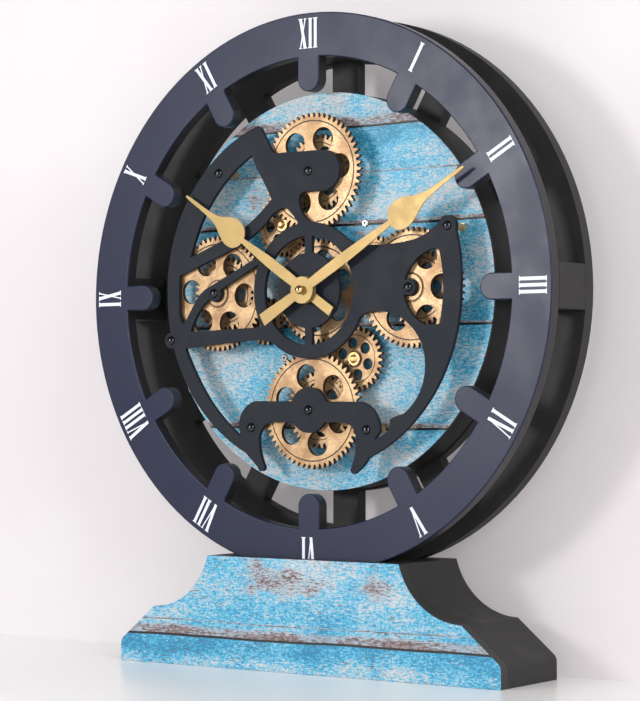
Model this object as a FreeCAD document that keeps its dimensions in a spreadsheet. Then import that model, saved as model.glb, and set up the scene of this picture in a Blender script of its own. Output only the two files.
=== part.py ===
# Wooden gear clock on a stand: a toothed dial ring on a spoked rear wheel, a round printed
# face carrying a train of wooden gears under a black bridge, two hands and their movement.
# Millimetres. +Z is up, the dial faces -Y, and the origin is the middle of the stand's foot.
import FreeCAD, Part
import math
import os
import re
import Sketcher

Vector = FreeCAD.Vector
doc = FreeCAD.newDocument("gear_clock")
sheet = doc.addObject("Spreadsheet::Sheet", "sizes")

# Driving dimensions. Depths are measured back from the front face of the dial ring.
SIZES = {
    # stand: a printed front board, a cradle and a rear board
    "stand_half_width": 147.3,
    "stand_side_height": 14.0,
    "stand_side_round": 6.0,
    "stand_shoulder_half_width": 119.5,
    "stand_shoulder_height": 37.0,
    "stand_cove_radius": 47.0,
    "stand_top_half_width": 74.4,
    "stand_height": 72.0,
    "cradle_depth": 9.0,
    "stand_front_thickness": 9.0,
    "stand_rear_thickness": 7.5,
    "cradle_clearance": 0.2,
    "slot_clearance": 0.1,
    "stand_screw_radius": 1.75,
    "stand_screw_head_radius": 3.6,
    "stand_screw_head_height": 2.2,
    "stand_screw_length": 30.0,
    "stand_screw_spread": 100.0,
    "stand_screw_rise": 24.0,
    "stand_screw_inner_spread": 50.0,
    "stand_screw_inner_rise": 50.0,
    # dial frame: front ring with tabs, rear wheel with spokes, blocks between them
    "frame_depth": 50.0,
    "ring_width": 28.0,
    "ring_gap": 22.5,
    "ring_thickness": 9.0,
    "tab_width": 16.6,
    "tab_length": 22.2,
    "spoke_width": 19.5,
    "rear_plate_width": 19.5,
    "block_width": 28.0,
    "block_inset": 1.0,
    "numeral_height": 19.2,
    "numeral_foot_gap": 5.3,
    "numeral_thickness": 0.1,
    "stem_width": 2.1,
    "hairline_width": 0.8,
    "serif_height": 0.6,
    "serif_overhang": 0.55,
    "letter_gap": 0.75,
    "wide_letter_width": 6.9,
    # face disc and the drum behind it
    "face_margin": 13.9,
    "disc_front": 18.0,
    "disc_thickness": 3.0,
    "drum_wall": 3.0,
    "works_rise": 1.2,
    "face_screw_x": 31.8,
    "face_screw_rise": 42.4,
    "face_screw_radius": 1.5,
    "face_screw_head_radius": 2.5,
    "face_screw_head_height": 1.0,
    # bridge: the black plate in front of the gears
    "bridge_thickness": 3.0,
    "bridge_margin": 27.5,
    "hub_ring_radius": 43.3,
    "hub_ring_inner_radius": 34.75,
    "hub_disc_radius": 24.0,
    "hub_bar_width": 5.5,
    "foot_hub_radius": 14.5,
    "side_tab_radius": 5.0,
    "left_ear_radius": 5.2,
    "right_ear_radius": 6.4,
    "standoff_radius": 2.1,
    "standoff_foot_radius": 2.6,
    "standoff_foot_thickness": 1.0,
    "screw_radius": 1.25,
    "screw_head_radius": 3.0,
    "screw_head_height": 2.2,
    "screw_length": 7.0,
    "screw_clearance": 0.05,
    # gear train
    "gear_module": 1.3,
    "gear_backlash": 0.3,
    "gear_thickness": 3.0,
    "centre_teeth": 50,
    "long_idler_teeth": 30,
    "short_idler_teeth": 22,
    "rear_gear_teeth": 36,
    "front_gear_teeth": 56,
    "pinion_teeth": 14,
    "pinion_turn": -12.0,
    "axle_circle_teeth": 116.769,
    "front_layer_depth": 4.0,
    "rear_layer_depth": 11.3,
    "axle_radius": 2.0,
    "running_clearance": 0.05,
    "groove_width": 0.8,
    "groove_depth": 0.3,
    "hub_radius": 8.1,
    "hub_rim_width": 2.4,
    "hub_recess_depth": 0.4,
    "hub_front_gap": 0.3,
    "post_head_radius": 2.7,
    "post_head_round": 1.3,
    "post_head_front": 7.9,
    "post_collar_radius": 4.4,
    "post_collar_thickness": 1.3,
    "centre_hole_turn": 20.0,
    "top_hole_turn": 6.5,
    "left_hole_turn": 55.6,
    "foot_hole_turn": 41.4,
    "right_hole_turn": 0.0,
    # movement behind the face, and its threaded bush, on which the centre gear turns
    "case_wall": 1.5,
    "bush_radius": 4.0,
    "bush_front": 8.0,
    "nut_flats": 12.0,
    "nut_thickness": 2.0,
    "hour_pipe_radius": 2.6,
    "hour_pipe_wall": 0.6,
    "works_module": 0.32,
    "works_backlash": 0.1,
    "cannon_teeth": 20,
    "works_wheel_teeth": 60,
    "works_pinion_teeth": 16,
    "hour_wheel_teeth": 64,
    "works_thickness": 1.0,
    "works_gap": 0.5,
    "works_turn": 135.0,
    "arbor_radius": 1.0,
    "knob_radius": 7.0,
    "knob_thickness": 3.0,
    "knob_gap": 0.4,
    "knob_ribs": 24,
    "coil_length": 16.0,
    "coil_radius": 3.4,
    "coil_core_radius": 1.0,
    "coil_end_radius": 4.1,
    "coil_end_thickness": 1.0,
    "stator_thickness": 1.2,
    "stator_height": 18.0,
    "stator_bar": 3.0,
    "boss_radius": 1.2,
    "board_width": 22.0,
    "board_height": 9.0,
    "board_thickness": 1.0,
    "board_gap": 2.1,
    "cell_radius": 7.1,
    "cell_length": 49.0,
    "cell_nub_radius": 2.7,
    "cell_nub_length": 1.2,
    "cell_clearance": 0.15,
    "contact_thickness": 0.4,
    "movement_spring_length": 3.0,
    # drive of the gear train
    "gearbox_gap": 0.35,
    "gearbox_depth": 7.0,
    "gearbox_wall": 1.2,
    "drive_wheel_room": 0.64,
    "drive_wheel_thickness": 1.5,
    "drive_wheel_teeth": 48,
    "drive_pinion_teeth": 16,
    "drive_turn": -75.0,
    "motor_radius": 6.0,
    "motor_length": 9.0,
    "motor_bore_depth": 5.4,
    "motor_shaft_radius": 0.8,
    "drive_spring_length": 6.0,
    "holder_wall": 1.5,
    "holder_drop": 76.0,
    "switch_width": 12.0,
    "switch_height": 6.0,
    "switch_travel": 2.0,
    "switch_knob_width": 3.0,
    "switch_knob_rise": 2.0,
    # hands
    "hand_thickness": 0.8,
    "hour_hand_lead": 4.4,
    "minute_hand_lead": 7.2,
    "hand_hub_radius": 8.6,
    "leaf_radius": 9.4,
    "minute_tip_gap": 15.0,
    "minute_leaf_length": 87.0,
    "minute_tail_length": 36.5,
    "minute_tail_half_width": 4.25,
    "minute_turn": 59.4,
    "hour_tip_gap": 40.0,
    "hour_leaf_length": 68.5,
    "hour_tail_length": 25.0,
    "hour_tail_half_width": 3.25,
    "hour_turn": 304.0,
    "hand_nut_radius": 2.9,
    "hand_nut_rise": 2.4,
}

# Sizes that follow from those, as what one piece leaves room for or rests on
DERIVED = {
    "ring_inner_radius": "(disc_radius + ring_gap)",
    "ring_radius": "(ring_inner_radius + ring_width)",
    "dial_centre_height": "(stand_height - cradle_depth + ring_radius)",
    "tab_reach_radius": "(ring_inner_radius - tab_length)",
    "rear_opening_radius": "(disc_radius - rear_plate_width)",
    "block_radial": "(ring_width - block_inset)",
    "numeral_foot_radius": "(ring_inner_radius + numeral_foot_gap)",
    "minute_tip_length": "(numeral_foot_radius - minute_tip_gap)",
    "hour_tip_length": "(numeral_foot_radius - hour_tip_gap)",
    "bridge_reach": "(disc_radius - bridge_margin)",
    "axle_circle_radius": "(gear_module * axle_circle_teeth / 2)",
    "front_gear_reach": "(gear_module * (front_gear_teeth / 2 + 1))",
    "disc_radius": "(axle_circle_radius + front_gear_reach + face_margin)",
    "cell_stack": "(cell_length + cell_nub_length + 2 * contact_thickness)",
    "case_width": "(cell_stack + movement_spring_length + 2 * case_wall)",
    "case_depth": "(2 * cell_radius + 2 * cell_clearance + case_wall)",
    "case_bay_height": "(2 * cell_radius + 2 * slot_clearance + 2 * case_wall)",
    "holder_width": "(cell_stack + drive_spring_length + 2 * holder_wall)",
}
for row, (alias, number) in enumerate(SIZES.items(), start=1):
    sheet.set("A%d" % row, alias)
    sheet.set("B%d" % row, str(number))
    sheet.setAlias("B%d" % row, alias)
doc.recompute()

ALIAS_WORD = re.compile(r"\b(%s)\b" % "|".join(SIZES))
DERIVED_WORD = re.compile(r"\b(%s)\b" % "|".join(DERIVED))
DEPTH_MIDDLE = "(frame_depth + stand_rear_thickness - stand_front_thickness) / 2"
SHAFT_HEIGHT = "(dial_centre_height + works_rise)"
parts = []


def bound(text):
    """An expression on the sheet, from one written with bare size names."""
    text = str(text)
    while DERIVED_WORD.search(text):
        text = DERIVED_WORD.sub(lambda found: DERIVED[found.group()], text)
    return ALIAS_WORD.sub(r"sizes.\1", text)


def value(text):
    """The number that an expression has now."""
    result = sheet.evalExpression(bound(text).replace("sizes.", ""))
    return float(getattr(result, "Value", result))


def bind(item, **expressions):
    """Ties properties of a document object to the sheet."""
    for name, text in expressions.items():
        item.setExpression(name, bound(text))
    return item


def seat(item, x="0", back="0", height=SHAFT_HEIGHT, turn=0.0):
    """Stands a piece drawn in X and Y upright, its +Z to the front, its back at a depth."""
    upright = FreeCAD.Rotation(Vector(1, 0, 0), 90)
    item.Placement = FreeCAD.Placement(Vector(), upright * FreeCAD.Rotation(Vector(0, 0, 1), turn))
    item.setExpression("Placement.Base.x", bound(x))
    item.setExpression("Placement.Base.y", bound("(%s) - (%s)" % (back, DEPTH_MIDDLE)))
    item.setExpression("Placement.Base.z", bound(height))
    return item


def keep(item, node):
    """Names a finished sub-part."""
    item.Label = node
    parts.append(item)
    return item


def cylinder(name, radius, length, x="0", back="0", height=SHAFT_HEIGHT):
    item = bind(doc.addObject("Part::Cylinder", name), Radius=radius, Height=length)
    return seat(item, x, back, height)


def box(name, width, tall, deep, x="0", back="0", height=SHAFT_HEIGHT):
    """A block centred on x and height, reaching forward from its back."""
    item = bind(doc.addObject("Part::Box", name), Length=width, Width=tall, Height=deep)
    return seat(item, "(%s) - (%s) / 2" % (x, width), back, "(%s) - (%s) / 2" % (height, tall))


def cut(name, base, *tools):
    item = doc.addObject("Part::Cut", name)
    item.Base = base
    item.Tool = tools[0] if len(tools) == 1 else group(name + "_tools", tools)
    return item


def group(name, items):
    item = doc.addObject("Part::Compound", name)
    item.Links = list(items)
    return item


def fuse(name, *items):
    item = doc.addObject("Part::MultiFuse", name)
    item.Shapes = list(items)
    return item


def shaped(name, shape, **place):
    """A piece whose form comes from a formula or an outline."""
    item = doc.addObject("Part::Feature", name)
    item.Shape = shape
    return seat(item, **place)


# Sketching: every corner is dimensioned from the sketch's origin

def fix_point(sketch, geometry, point, x, y):
    for kind, text in (("DistanceX", x), ("DistanceY", y)):
        rule = Sketcher.Constraint(kind, -1, 1, geometry, point, value(text))
        index = sketch.addConstraint(rule)
        sketch.setExpression("Constraints[%d]" % index, bound(text))


def new_sketch(body, name):
    sketch = body.newObject("Sketcher::SketchObject", name)
    plane = [item for item in body.Origin.OriginFeatures if item.Role == "XY_Plane"][0]
    sketch.AttachmentSupport = (plane, "")
    sketch.MapMode = "FlatFace"
    return sketch


def draw_outline(sketch, corners, hollows=None):
    """A closed outline; hollows maps a side's number to the radius it is scooped in by."""
    hollows = hollows or {}
    places = [Vector(value(x), value(y), 0) for x, y in corners]
    for number, start in enumerate(places):
        end = places[(number + 1) % len(places)]
        if number in hollows:
            radius = value(hollows[number])
            chord = end - start
            sagitta = radius - math.sqrt(radius ** 2 - (chord.Length / 2) ** 2)
            inward = Vector(-chord.y, chord.x, 0).normalize()
            middle = (start + end) / 2 + inward * sagitta
            sketch.addGeometry(Part.Arc(start, middle, end))
        else:
            sketch.addGeometry(Part.LineSegment(start, end))
    for number, (x, y) in enumerate(corners):
        following = (number + 1) % len(corners)
        # a side that is scooped in runs from its end to its start, as all arcs turn left
        tail = 1 if number in hollows else 2
        head = 2 if following in hollows else 1
        sketch.addConstraint(Sketcher.Constraint("Coincident", number, tail, following, head))
        fix_point(sketch, number, 2 if number in hollows else 1, x, y)
        if number in hollows:
            index = sketch.addConstraint(Sketcher.Constraint("Radius", number, value(hollows[number])))
            sketch.setExpression("Constraints[%d]" % index, bound(hollows[number]))


def draw_circle(sketch, radius, x="0", y="0"):
    centre = Vector(value(x), value(y), 0)
    number = sketch.addGeometry(Part.Circle(centre, Vector(0, 0, 1), value(radius)))
    fix_point(sketch, number, 3, x, y)
    index = sketch.addConstraint(Sketcher.Constraint("Radius", number, value(radius)))
    sketch.setExpression("Constraints[%d]" % index, bound(radius))


def pad(body, sketch, length):
    item = body.newObject("PartDesign::Pad", sketch.Name + "_pad")
    item.Profile = sketch
    bind(item, Length=length)
    return item


def pocket_through(body, sketch, length):
    """Cuts a sketch through a pad that rises from the same plane."""
    item = body.newObject("PartDesign::Pocket", sketch.Name + "_pocket")
    item.Profile = sketch
    item.Reversed = True
    bind(item, Length=length)
    return item


def polar(body, feature, count):
    item = body.newObject("PartDesign::PolarPattern", feature.Name + "_pattern")
    item.Originals = [feature]
    axis = [part for part in body.Origin.OriginFeatures if part.Role == "Z_Axis"][0]
    item.Axis = (axis, "")
    item.Angle = 360
    item.Occurrences = count
    body.Tip = item
    return item


# Stand

STAND_CORNERS = [
    ("-stand_half_width", "0"),
    ("stand_half_width", "0"),
    ("stand_half_width", "stand_side_height"),
    ("stand_shoulder_half_width", "stand_shoulder_height"),
    ("stand_top_half_width", "stand_height"),
    ("-stand_top_half_width", "stand_height"),
    ("-stand_shoulder_half_width", "stand_shoulder_height"),
    ("-stand_half_width", "stand_side_height"),
]


def stand_layer(name, thickness, back):
    """One board of the stand: stepped sides with a cove under the top."""
    body = doc.addObject("PartDesign::Body", name)
    sketch = new_sketch(body, name + "_outline")
    draw_outline(sketch, STAND_CORNERS, {3: "stand_cove_radius", 5: "stand_cove_radius"})
    board = pad(body, sketch, thickness)
    doc.recompute()
    side, rise = value("stand_half_width"), value("stand_side_height")
    edges = []
    for number, edge in enumerate(body.Shape.Edges, start=1):
        ends = [vertex.Point for vertex in edge.Vertexes]
        near = value("slot_clearance")
        at_corner = [abs(abs(end.x) - side) + abs(end.y - rise) < near for end in ends]
        if all(at_corner):
            edges.append("Edge%d" % number)
    fillet = body.newObject("PartDesign::Fillet", name + "_round")
    fillet.Base = (board, edges)
    bind(fillet, Radius="stand_side_round")
    body.Tip = fillet
    return seat(body, back=back, height="0")


SCREW_PLACES = [
    ("-stand_screw_spread", "stand_screw_rise"),
    ("stand_screw_spread", "stand_screw_rise"),
    ("-stand_screw_inner_spread", "stand_screw_inner_rise"),
    ("stand_screw_inner_spread", "stand_screw_inner_rise"),
]
FRONT_BOARD_BACK = "-(numeral_thickness + slot_clearance)"
CORE_BACK = "frame_depth + slot_clearance"
CORE_DEPTH = CORE_BACK + " + numeral_thickness + slot_clearance"
REAR_BOARD_BACK = CORE_BACK + " + stand_rear_thickness"


def stand_screws(name, gap):
    """Countersunk screws through the rear board, or with a gap the holes for them."""
    screws = []
    for number, (x, height) in enumerate(SCREW_PLACES):
        shank = cylinder("%s_shank_%d" % (name, number), "stand_screw_radius + %s" % gap,
                         "stand_screw_length + %s" % gap, x, REAR_BOARD_BACK, height)
        head = doc.addObject("Part::Cone", "%s_head_%d" % (name, number))
        bind(head, Radius1="stand_screw_head_radius + %s" % gap, Radius2="stand_screw_radius + %s" % gap,
             Height="stand_screw_head_height")
        seat(head, x, REAR_BOARD_BACK, height)
        screws.append(fuse("%s_%d" % (name, number), shank, head))
    return group(name, screws)


keep(stand_layer("front_board", "stand_front_thickness", FRONT_BOARD_BACK), "stand_front_board")
screw_holes = stand_screws("screw_hole", "screw_clearance")
core_layer = stand_layer("core_layer", CORE_DEPTH, CORE_BACK)
trough = cylinder("trough", "ring_radius + cradle_clearance", CORE_DEPTH, back=CORE_BACK,
                  height="dial_centre_height")
keep(cut("core", core_layer, trough, screw_holes), "stand_core")
rear_board = stand_layer("rear_board", "stand_rear_thickness", REAR_BOARD_BACK)
keep(cut("rear_board_cut", rear_board, screw_holes), "stand_rear_board")
keep(stand_screws("stand_screw", "0"), "stand_screws")

# Dial ring: twelve round-ended tabs point inward from it

HOURS = 12
ring = doc.addObject("PartDesign::Body", "ring")
ring_sketch = new_sketch(ring, "ring_outline")
draw_circle(ring_sketch, "ring_radius")
draw_circle(ring_sketch, "ring_inner_radius")
pad(ring, ring_sketch, "ring_thickness")
tab_sketch = new_sketch(ring, "tab_outline")
TAB_ROOT = "(ring_inner_radius + ring_radius) / 2"
TAB_END = "tab_reach_radius + tab_width / 2"
draw_outline(tab_sketch, [
    (TAB_ROOT, "-tab_width / 2"),
    (TAB_ROOT, "tab_width / 2"),
    (TAB_END, "tab_width / 2"),
    (TAB_END, "-tab_width / 2"),
])
tab_pad = pad(ring, tab_sketch, "ring_thickness")
polar(ring, tab_pad, HOURS)
tip_sketch = new_sketch(ring, "tab_tip")
draw_circle(tip_sketch, "tab_width / 2", TAB_END)
tip_pad = pad(ring, tip_sketch, "ring_thickness")
polar(ring, tip_pad, HOURS)
seat(ring, back="ring_thickness", height="dial_centre_height")
keep(ring, "dial_ring")

# Numerals: Roman, twelve of them, feet towards the middle


def stroke(foot, head, width):
    """A letter's stroke from a point on its foot line to one on its head line."""
    half = Vector(width / 2, 0, 0)
    corners = [foot - half, foot + half, head + half, head - half]
    return Part.Face(Part.makePolygon(corners + corners[:1]))


def letter(kind, left):
    """The strokes of one letter and where the next one starts."""
    tall, thick, thin = value("numeral_height"), value("stem_width"), value("hairline_width")
    over, foot_height = value("serif_overhang"), value("serif_height")
    wide = value("wide_letter_width")
    up = Vector(0, tall, 0)
    if kind == "I":
        middle = Vector(left + over + thick / 2, 0, 0)
        ends = [(middle, thick), (middle + up, thick)]
        strokes = [stroke(middle, middle + up, thick)]
        right = left + thick + 2 * over
    elif kind == "V":
        point = Vector(left + wide / 2, 0, 0)
        heads = [Vector(left + over + thick / 2, tall, 0), Vector(left + wide - over - thin / 2, tall, 0)]
        ends = [(heads[0], thick), (heads[1], thin)]
        strokes = [stroke(point, heads[0], thick), stroke(point, heads[1], thin)]
        right = left + wide
    else:
        near, far = left + over + thick / 2, left + wide - over - thick / 2
        ends = [(Vector(x, y, 0), w) for x, y, w in
                ((near, tall, thick), (far, 0, thick), (near, 0, thin), (far, tall, thin))]
        strokes = [stroke(Vector(far, 0, 0), Vector(near, tall, 0), thick),
                   stroke(Vector(near, 0, 0), Vector(far, tall, 0), thin)]
        right = left + wide
    for end, width in ends:
        inward = foot_height if end.y < tall / 2 else -foot_height
        strokes.append(stroke(end, end + Vector(0, inward, 0), width + 2 * over))
    return strokes, right


def numeral(text):
    """One numeral as a thin solid, centred, its foot on the foot circle."""
    left = 0.0
    strokes = []
    for kind in text:
        made, right = letter(kind, left)
        strokes += made
        left = right + value("letter_gap")
    middle = (left - value("letter_gap")) / 2
    solids = [face.extrude(Vector(0, 0, value("numeral_thickness"))) for face in strokes]
    whole = solids[0].multiFuse(solids[1:]).removeSplitter()
    whole.translate(Vector(-middle, value("numeral_foot_radius"), 0))
    return whole


NUMERALS = ["XII", "I", "II", "III", "IV", "V", "VI", "VII", "VIII", "IX", "X", "XI"]
printed = []
for hour, text in enumerate(NUMERALS):
    shape = numeral(text)
    shape.rotate(Vector(), Vector(0, 0, 1), -360.0 * hour / len(NUMERALS))
    printed.append(shape)
keep(shaped("numerals", Part.makeCompound(printed), back="0", height="dial_centre_height"), "dial_numerals")

# Rear wheel, and the four blocks that hold the dial ring in front of it

rear = doc.addObject("PartDesign::Body", "rear")
rear_sketch = new_sketch(rear, "rear_rim")
draw_circle(rear_sketch, "ring_radius")
draw_circle(rear_sketch, "ring_inner_radius")
pad(rear, rear_sketch, "ring_thickness")
spoke_sketch = new_sketch(rear, "spoke_outline")
SPOKE_ROOT = "(ring_inner_radius + ring_radius) / 2"
SPOKE_END = "(rear_opening_radius + disc_radius) / 2"
draw_outline(spoke_sketch, [
    (SPOKE_END, "-spoke_width / 2"),
    (SPOKE_ROOT, "-spoke_width / 2"),
    (SPOKE_ROOT, "spoke_width / 2"),
    (SPOKE_END, "spoke_width / 2"),
])
spoke_pad = pad(rear, spoke_sketch, "ring_thickness")
polar(rear, spoke_pad, HOURS)
plate_sketch = new_sketch(rear, "plate_outline")
draw_circle(plate_sketch, "disc_radius")
draw_circle(plate_sketch, "rear_opening_radius")
pad(rear, plate_sketch, "ring_thickness")
seat(rear, back="frame_depth", height="dial_centre_height")
keep(rear, "rear_wheel")

SPACER_DEPTH = "frame_depth - 2 * ring_thickness"
band_outer = cylinder("band_outer", "ring_radius", SPACER_DEPTH, back="frame_depth - ring_thickness",
                      height="dial_centre_height")
band_inner = cylinder("band_inner", "ring_radius - block_radial", SPACER_DEPTH,
                      back="frame_depth - ring_thickness", height="dial_centre_height")
band = cut("band", band_outer, band_inner)
upright_bar = box("upright_bar", "block_width", "2 * ring_radius", SPACER_DEPTH,
                  back="frame_depth - ring_thickness", height="dial_centre_height")
level_bar = box("level_bar", "2 * ring_radius", "block_width", SPACER_DEPTH,
                back="frame_depth - ring_thickness", height="dial_centre_height")
blocks = doc.addObject("Part::Common", "blocks")
blocks.Base = band
blocks.Tool = group("bars", [upright_bar, level_bar])
keep(blocks, "spacer_blocks")

# Gear teeth


PRESSURE_ANGLE = 20.0
# tip above and root below the pitch circle, in modules
TOOTH_TIP_SHARE = 1.0
TOOTH_ROOT_SHARE = 1.25


def involute(angle):
    return math.tan(angle) - angle


def gear_wire(teeth, module, backlash, turn):
    """A toothed outline about the origin, one tooth centred at the angle turn in degrees."""
    pressure = math.radians(PRESSURE_ANGLE)
    pitch = teeth * module / 2
    base = pitch * math.cos(pressure)
    root, tip = pitch - TOOTH_ROOT_SHARE * module, pitch + TOOTH_TIP_SHARE * module
    half_tooth = math.pi / (2 * teeth) - backlash / (4 * pitch)
    start = max(root, base)
    flank = []
    if root < base:
        flank.append((root, half_tooth + involute(pressure)))
    for share in (0.0, 0.5, 1.0):
        radius = start + (tip - start) * share
        lean = involute(math.acos(min(1.0, base / radius)))
        flank.append((radius, half_tooth + involute(pressure) - lean))
    corners = []
    for tooth in range(teeth):
        middle = math.radians(turn) + 2 * math.pi * tooth / teeth
        for radius, offset in flank:
            corners.append((radius, middle - offset))
        for radius, offset in reversed(flank):
            corners.append((radius, middle + offset))
    points = [Vector(radius * math.cos(angle), radius * math.sin(angle), 0) for radius, angle in corners]
    return Part.makePolygon(points + points[:1])


def ring_wire(radius, x=0.0, y=0.0):
    return Part.Wire(Part.makeCircle(radius, Vector(x, y, 0)))


def plate(wires, thickness):
    """A flat plate: the first wire outside, the others holes."""
    return Part.makeFace(wires, "Part::FaceMakerBullseye").extrude(Vector(0, 0, thickness))


# window circle, window radius and scored circle, as shares of the root radius
CENTRE_GEAR_SHARES = (0.64, 0.22, 0.92)
IDLER_GEAR_SHARES = (0.57, 0.2, 0.85)
REAR_GEAR_SHARES = (0.6, 0.2, 0.88)
FRONT_GEAR_SHARES = (0.624, 0.227, 0.935)
GEAR_WINDOWS = 6


def wooden_gear(teeth, turn, hole_turn, bore, shares):
    """A sawn gear with round windows and a scored circle on its front."""
    hole_circle_share, hole_share, groove_share = shares
    module, thick = value("gear_module"), value("gear_thickness")
    root = teeth * module / 2 - TOOTH_ROOT_SHARE * module
    wires = [gear_wire(teeth, module, value("gear_backlash"), turn), ring_wire(bore)]
    for number in range(GEAR_WINDOWS):
        angle = math.radians(hole_turn + 360 * number / GEAR_WINDOWS)
        reach = root * hole_circle_share
        wires.append(ring_wire(root * hole_share, reach * math.cos(angle), reach * math.sin(angle)))
    solid = plate(wires, thick)
    groove = root * groove_share
    half, deep = value("groove_width") / 2, value("groove_depth")
    floor = Vector(0, 0, thick - deep)
    band = Part.makeCylinder(groove + half, 2 * deep, floor)
    band = band.cut(Part.makeCylinder(groove - half, 2 * deep, floor))
    return solid.cut(band)


def mesh_turn(here, turn, teeth, there, other_teeth):
    """The turn of a gear there, whose gap meets the tooth of the gear here."""
    line = math.degrees(math.atan2(there[1] - here[1], there[0] - here[0]))
    share = ((line - turn) * teeth / 360) % 1
    return line + 180 - 360 * (0.5 - share) / other_teeth


# Gear train, seen from the front: the centre gear turns four idlers, and each idler turns
# the small rear gear of a pair, whose large front gear shows

MODULE = value("gear_module")
AXLE_BORE = value("axle_radius + running_clearance")
AXLES = {
    "top": {"line": 90.0, "idler": "long_idler_teeth", "holes": "top_hole_turn"},
    "left": {"line": 180.0, "idler": "short_idler_teeth", "holes": "left_hole_turn"},
    "foot": {"line": 270.0, "idler": "long_idler_teeth", "holes": "foot_hole_turn"},
    "right": {"line": 0.0, "idler": "short_idler_teeth", "holes": "right_hole_turn"},
}
FRONT_GEAR_BACK = "front_layer_depth + gear_thickness"
REAR_GEAR_BACK = "rear_layer_depth + gear_thickness"


def polar_place(radius, degrees):
    return radius * math.cos(math.radians(degrees)), radius * math.sin(math.radians(degrees))


def at_works(place, back):
    """Arguments that seat a piece at a place measured from the hand shaft."""
    return {"x": repr(place[0]), "back": back, "height": "%s + %r" % (SHAFT_HEIGHT, place[1])}


centre_teeth = int(value("centre_teeth"))
rear_teeth = int(value("rear_gear_teeth"))
front_teeth = int(value("front_gear_teeth"))
centre_turn = 0.0
centre_bore = value("bush_radius + running_clearance")
centre_gear = wooden_gear(centre_teeth, centre_turn, value("centre_hole_turn"), centre_bore,
                          CENTRE_GEAR_SHARES)
keep(shaped("centre_gear", centre_gear, back=REAR_GEAR_BACK), "centre_gear")

axle_places, post_places = [], []
for side, axle in AXLES.items():
    idler_teeth = int(value(axle["idler"]))
    reach = value("axle_circle_radius")
    near = MODULE * (centre_teeth + idler_teeth) / 2
    far = MODULE * (rear_teeth + idler_teeth) / 2
    swing = math.degrees(math.acos((near ** 2 + reach ** 2 - far ** 2) / (2 * near * reach)))
    axle_place = polar_place(reach, axle["line"])
    post_place = polar_place(near, axle["line"] + swing)
    idler_turn = mesh_turn((0, 0), centre_turn, centre_teeth, post_place, idler_teeth)
    rear_turn = mesh_turn(post_place, idler_turn, idler_teeth, axle_place, rear_teeth)
    hole_turn = value(axle["holes"])
    idler = wooden_gear(idler_teeth, idler_turn, hole_turn, AXLE_BORE, IDLER_GEAR_SHARES)
    keep(shaped(side + "_idler", idler, **at_works(post_place, REAR_GEAR_BACK)), side + "_idler_gear")
    small = wooden_gear(rear_teeth, rear_turn, hole_turn, AXLE_BORE, REAR_GEAR_SHARES)
    keep(shaped(side + "_small", small, **at_works(axle_place, REAR_GEAR_BACK)), side + "_rear_gear")
    large = wooden_gear(front_teeth, 0.0, hole_turn, AXLE_BORE, FRONT_GEAR_SHARES)
    keep(shaped(side + "_large", large, **at_works(axle_place, FRONT_GEAR_BACK)), side + "_front_gear")
    washer_thickness = value("front_layer_depth - bridge_thickness - hub_front_gap")
    washer = plate([ring_wire(value("hub_radius")), ring_wire(AXLE_BORE)], washer_thickness)
    recess = Part.makeCylinder(value("hub_radius - hub_rim_width"), washer_thickness,
                               Vector(0, 0, washer_thickness - value("hub_recess_depth")))
    washer = washer.cut(recess)
    washer.translate(Vector(0, 0, value("rear_layer_depth - front_layer_depth")))
    spacer = plate([ring_wire(value("hub_radius")), ring_wire(AXLE_BORE)],
                   value("rear_layer_depth - front_layer_depth - gear_thickness"))
    hub = Part.makeCompound([washer, spacer])
    keep(shaped(side + "_hub", hub, **at_works(axle_place, "rear_layer_depth")), side + "_gear_hub")
    axle_places.append(axle_place)
    post_places.append(post_place)


def turned(profile):
    """A lathe-turned solid; profile lists radius and height, with an arc's middle as a triple."""
    points = [Vector(step[0], 0, step[1]) for step in profile]
    edges = []
    number = 0
    while number < len(points) - 1:
        if len(profile[number + 1]) == 3:
            edges.append(Part.Arc(points[number], points[number + 1], points[number + 2]).toShape())
            number += 2
        else:
            edges.append(Part.LineSegment(points[number], points[number + 1]).toShape())
            number += 1
    edges.append(Part.LineSegment(points[-1], points[0]).toShape())
    face = Part.Face(Part.Wire(edges))
    return face.revolve(Vector(), Vector(0, 0, 1), 360)


def dome_middle(radius, edge, top):
    """The middle of a dome's arc, from its edge at a radius to its top on the axis."""
    rise = top - edge
    sphere = (radius ** 2 + rise ** 2) / (2 * rise)
    half = math.asin(radius / sphere) / 2
    return sphere * math.sin(half), top - sphere * (1 - math.cos(half)), "arc"


def laid(shape):
    """A lathe-turned shape with its axis along X."""
    shape.rotate(Vector(), Vector(0, 1, 0), 90)
    return Part.makeCompound([shape])


def repeated(shape, places):
    """Copies of a shape at places measured from the hand shaft."""
    copies = []
    for x, y in places:
        copy = shape.copy()
        copy.translate(Vector(x, y, 0))
        copies.append(copy)
    return Part.makeCompound(copies)


# Axles of the gear pairs, held between the bridge and the face, with a tapped front end

axle_length = value("disc_front + disc_thickness - bridge_thickness")
tap = value("screw_radius + screw_clearance")
tap_depth = value("screw_length - bridge_thickness + screw_clearance")
axle_shape = turned([
    (0, 0),
    (value("axle_radius"), 0),
    (value("axle_radius"), axle_length),
    (tap, axle_length),
    (tap, axle_length - tap_depth),
    (0, axle_length - tap_depth),
])
keep(shaped("axles", repeated(axle_shape, axle_places), back="disc_front + disc_thickness"), "gear_axles")

# Idler posts: brass, with a round head and a collar in front of the gear

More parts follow.
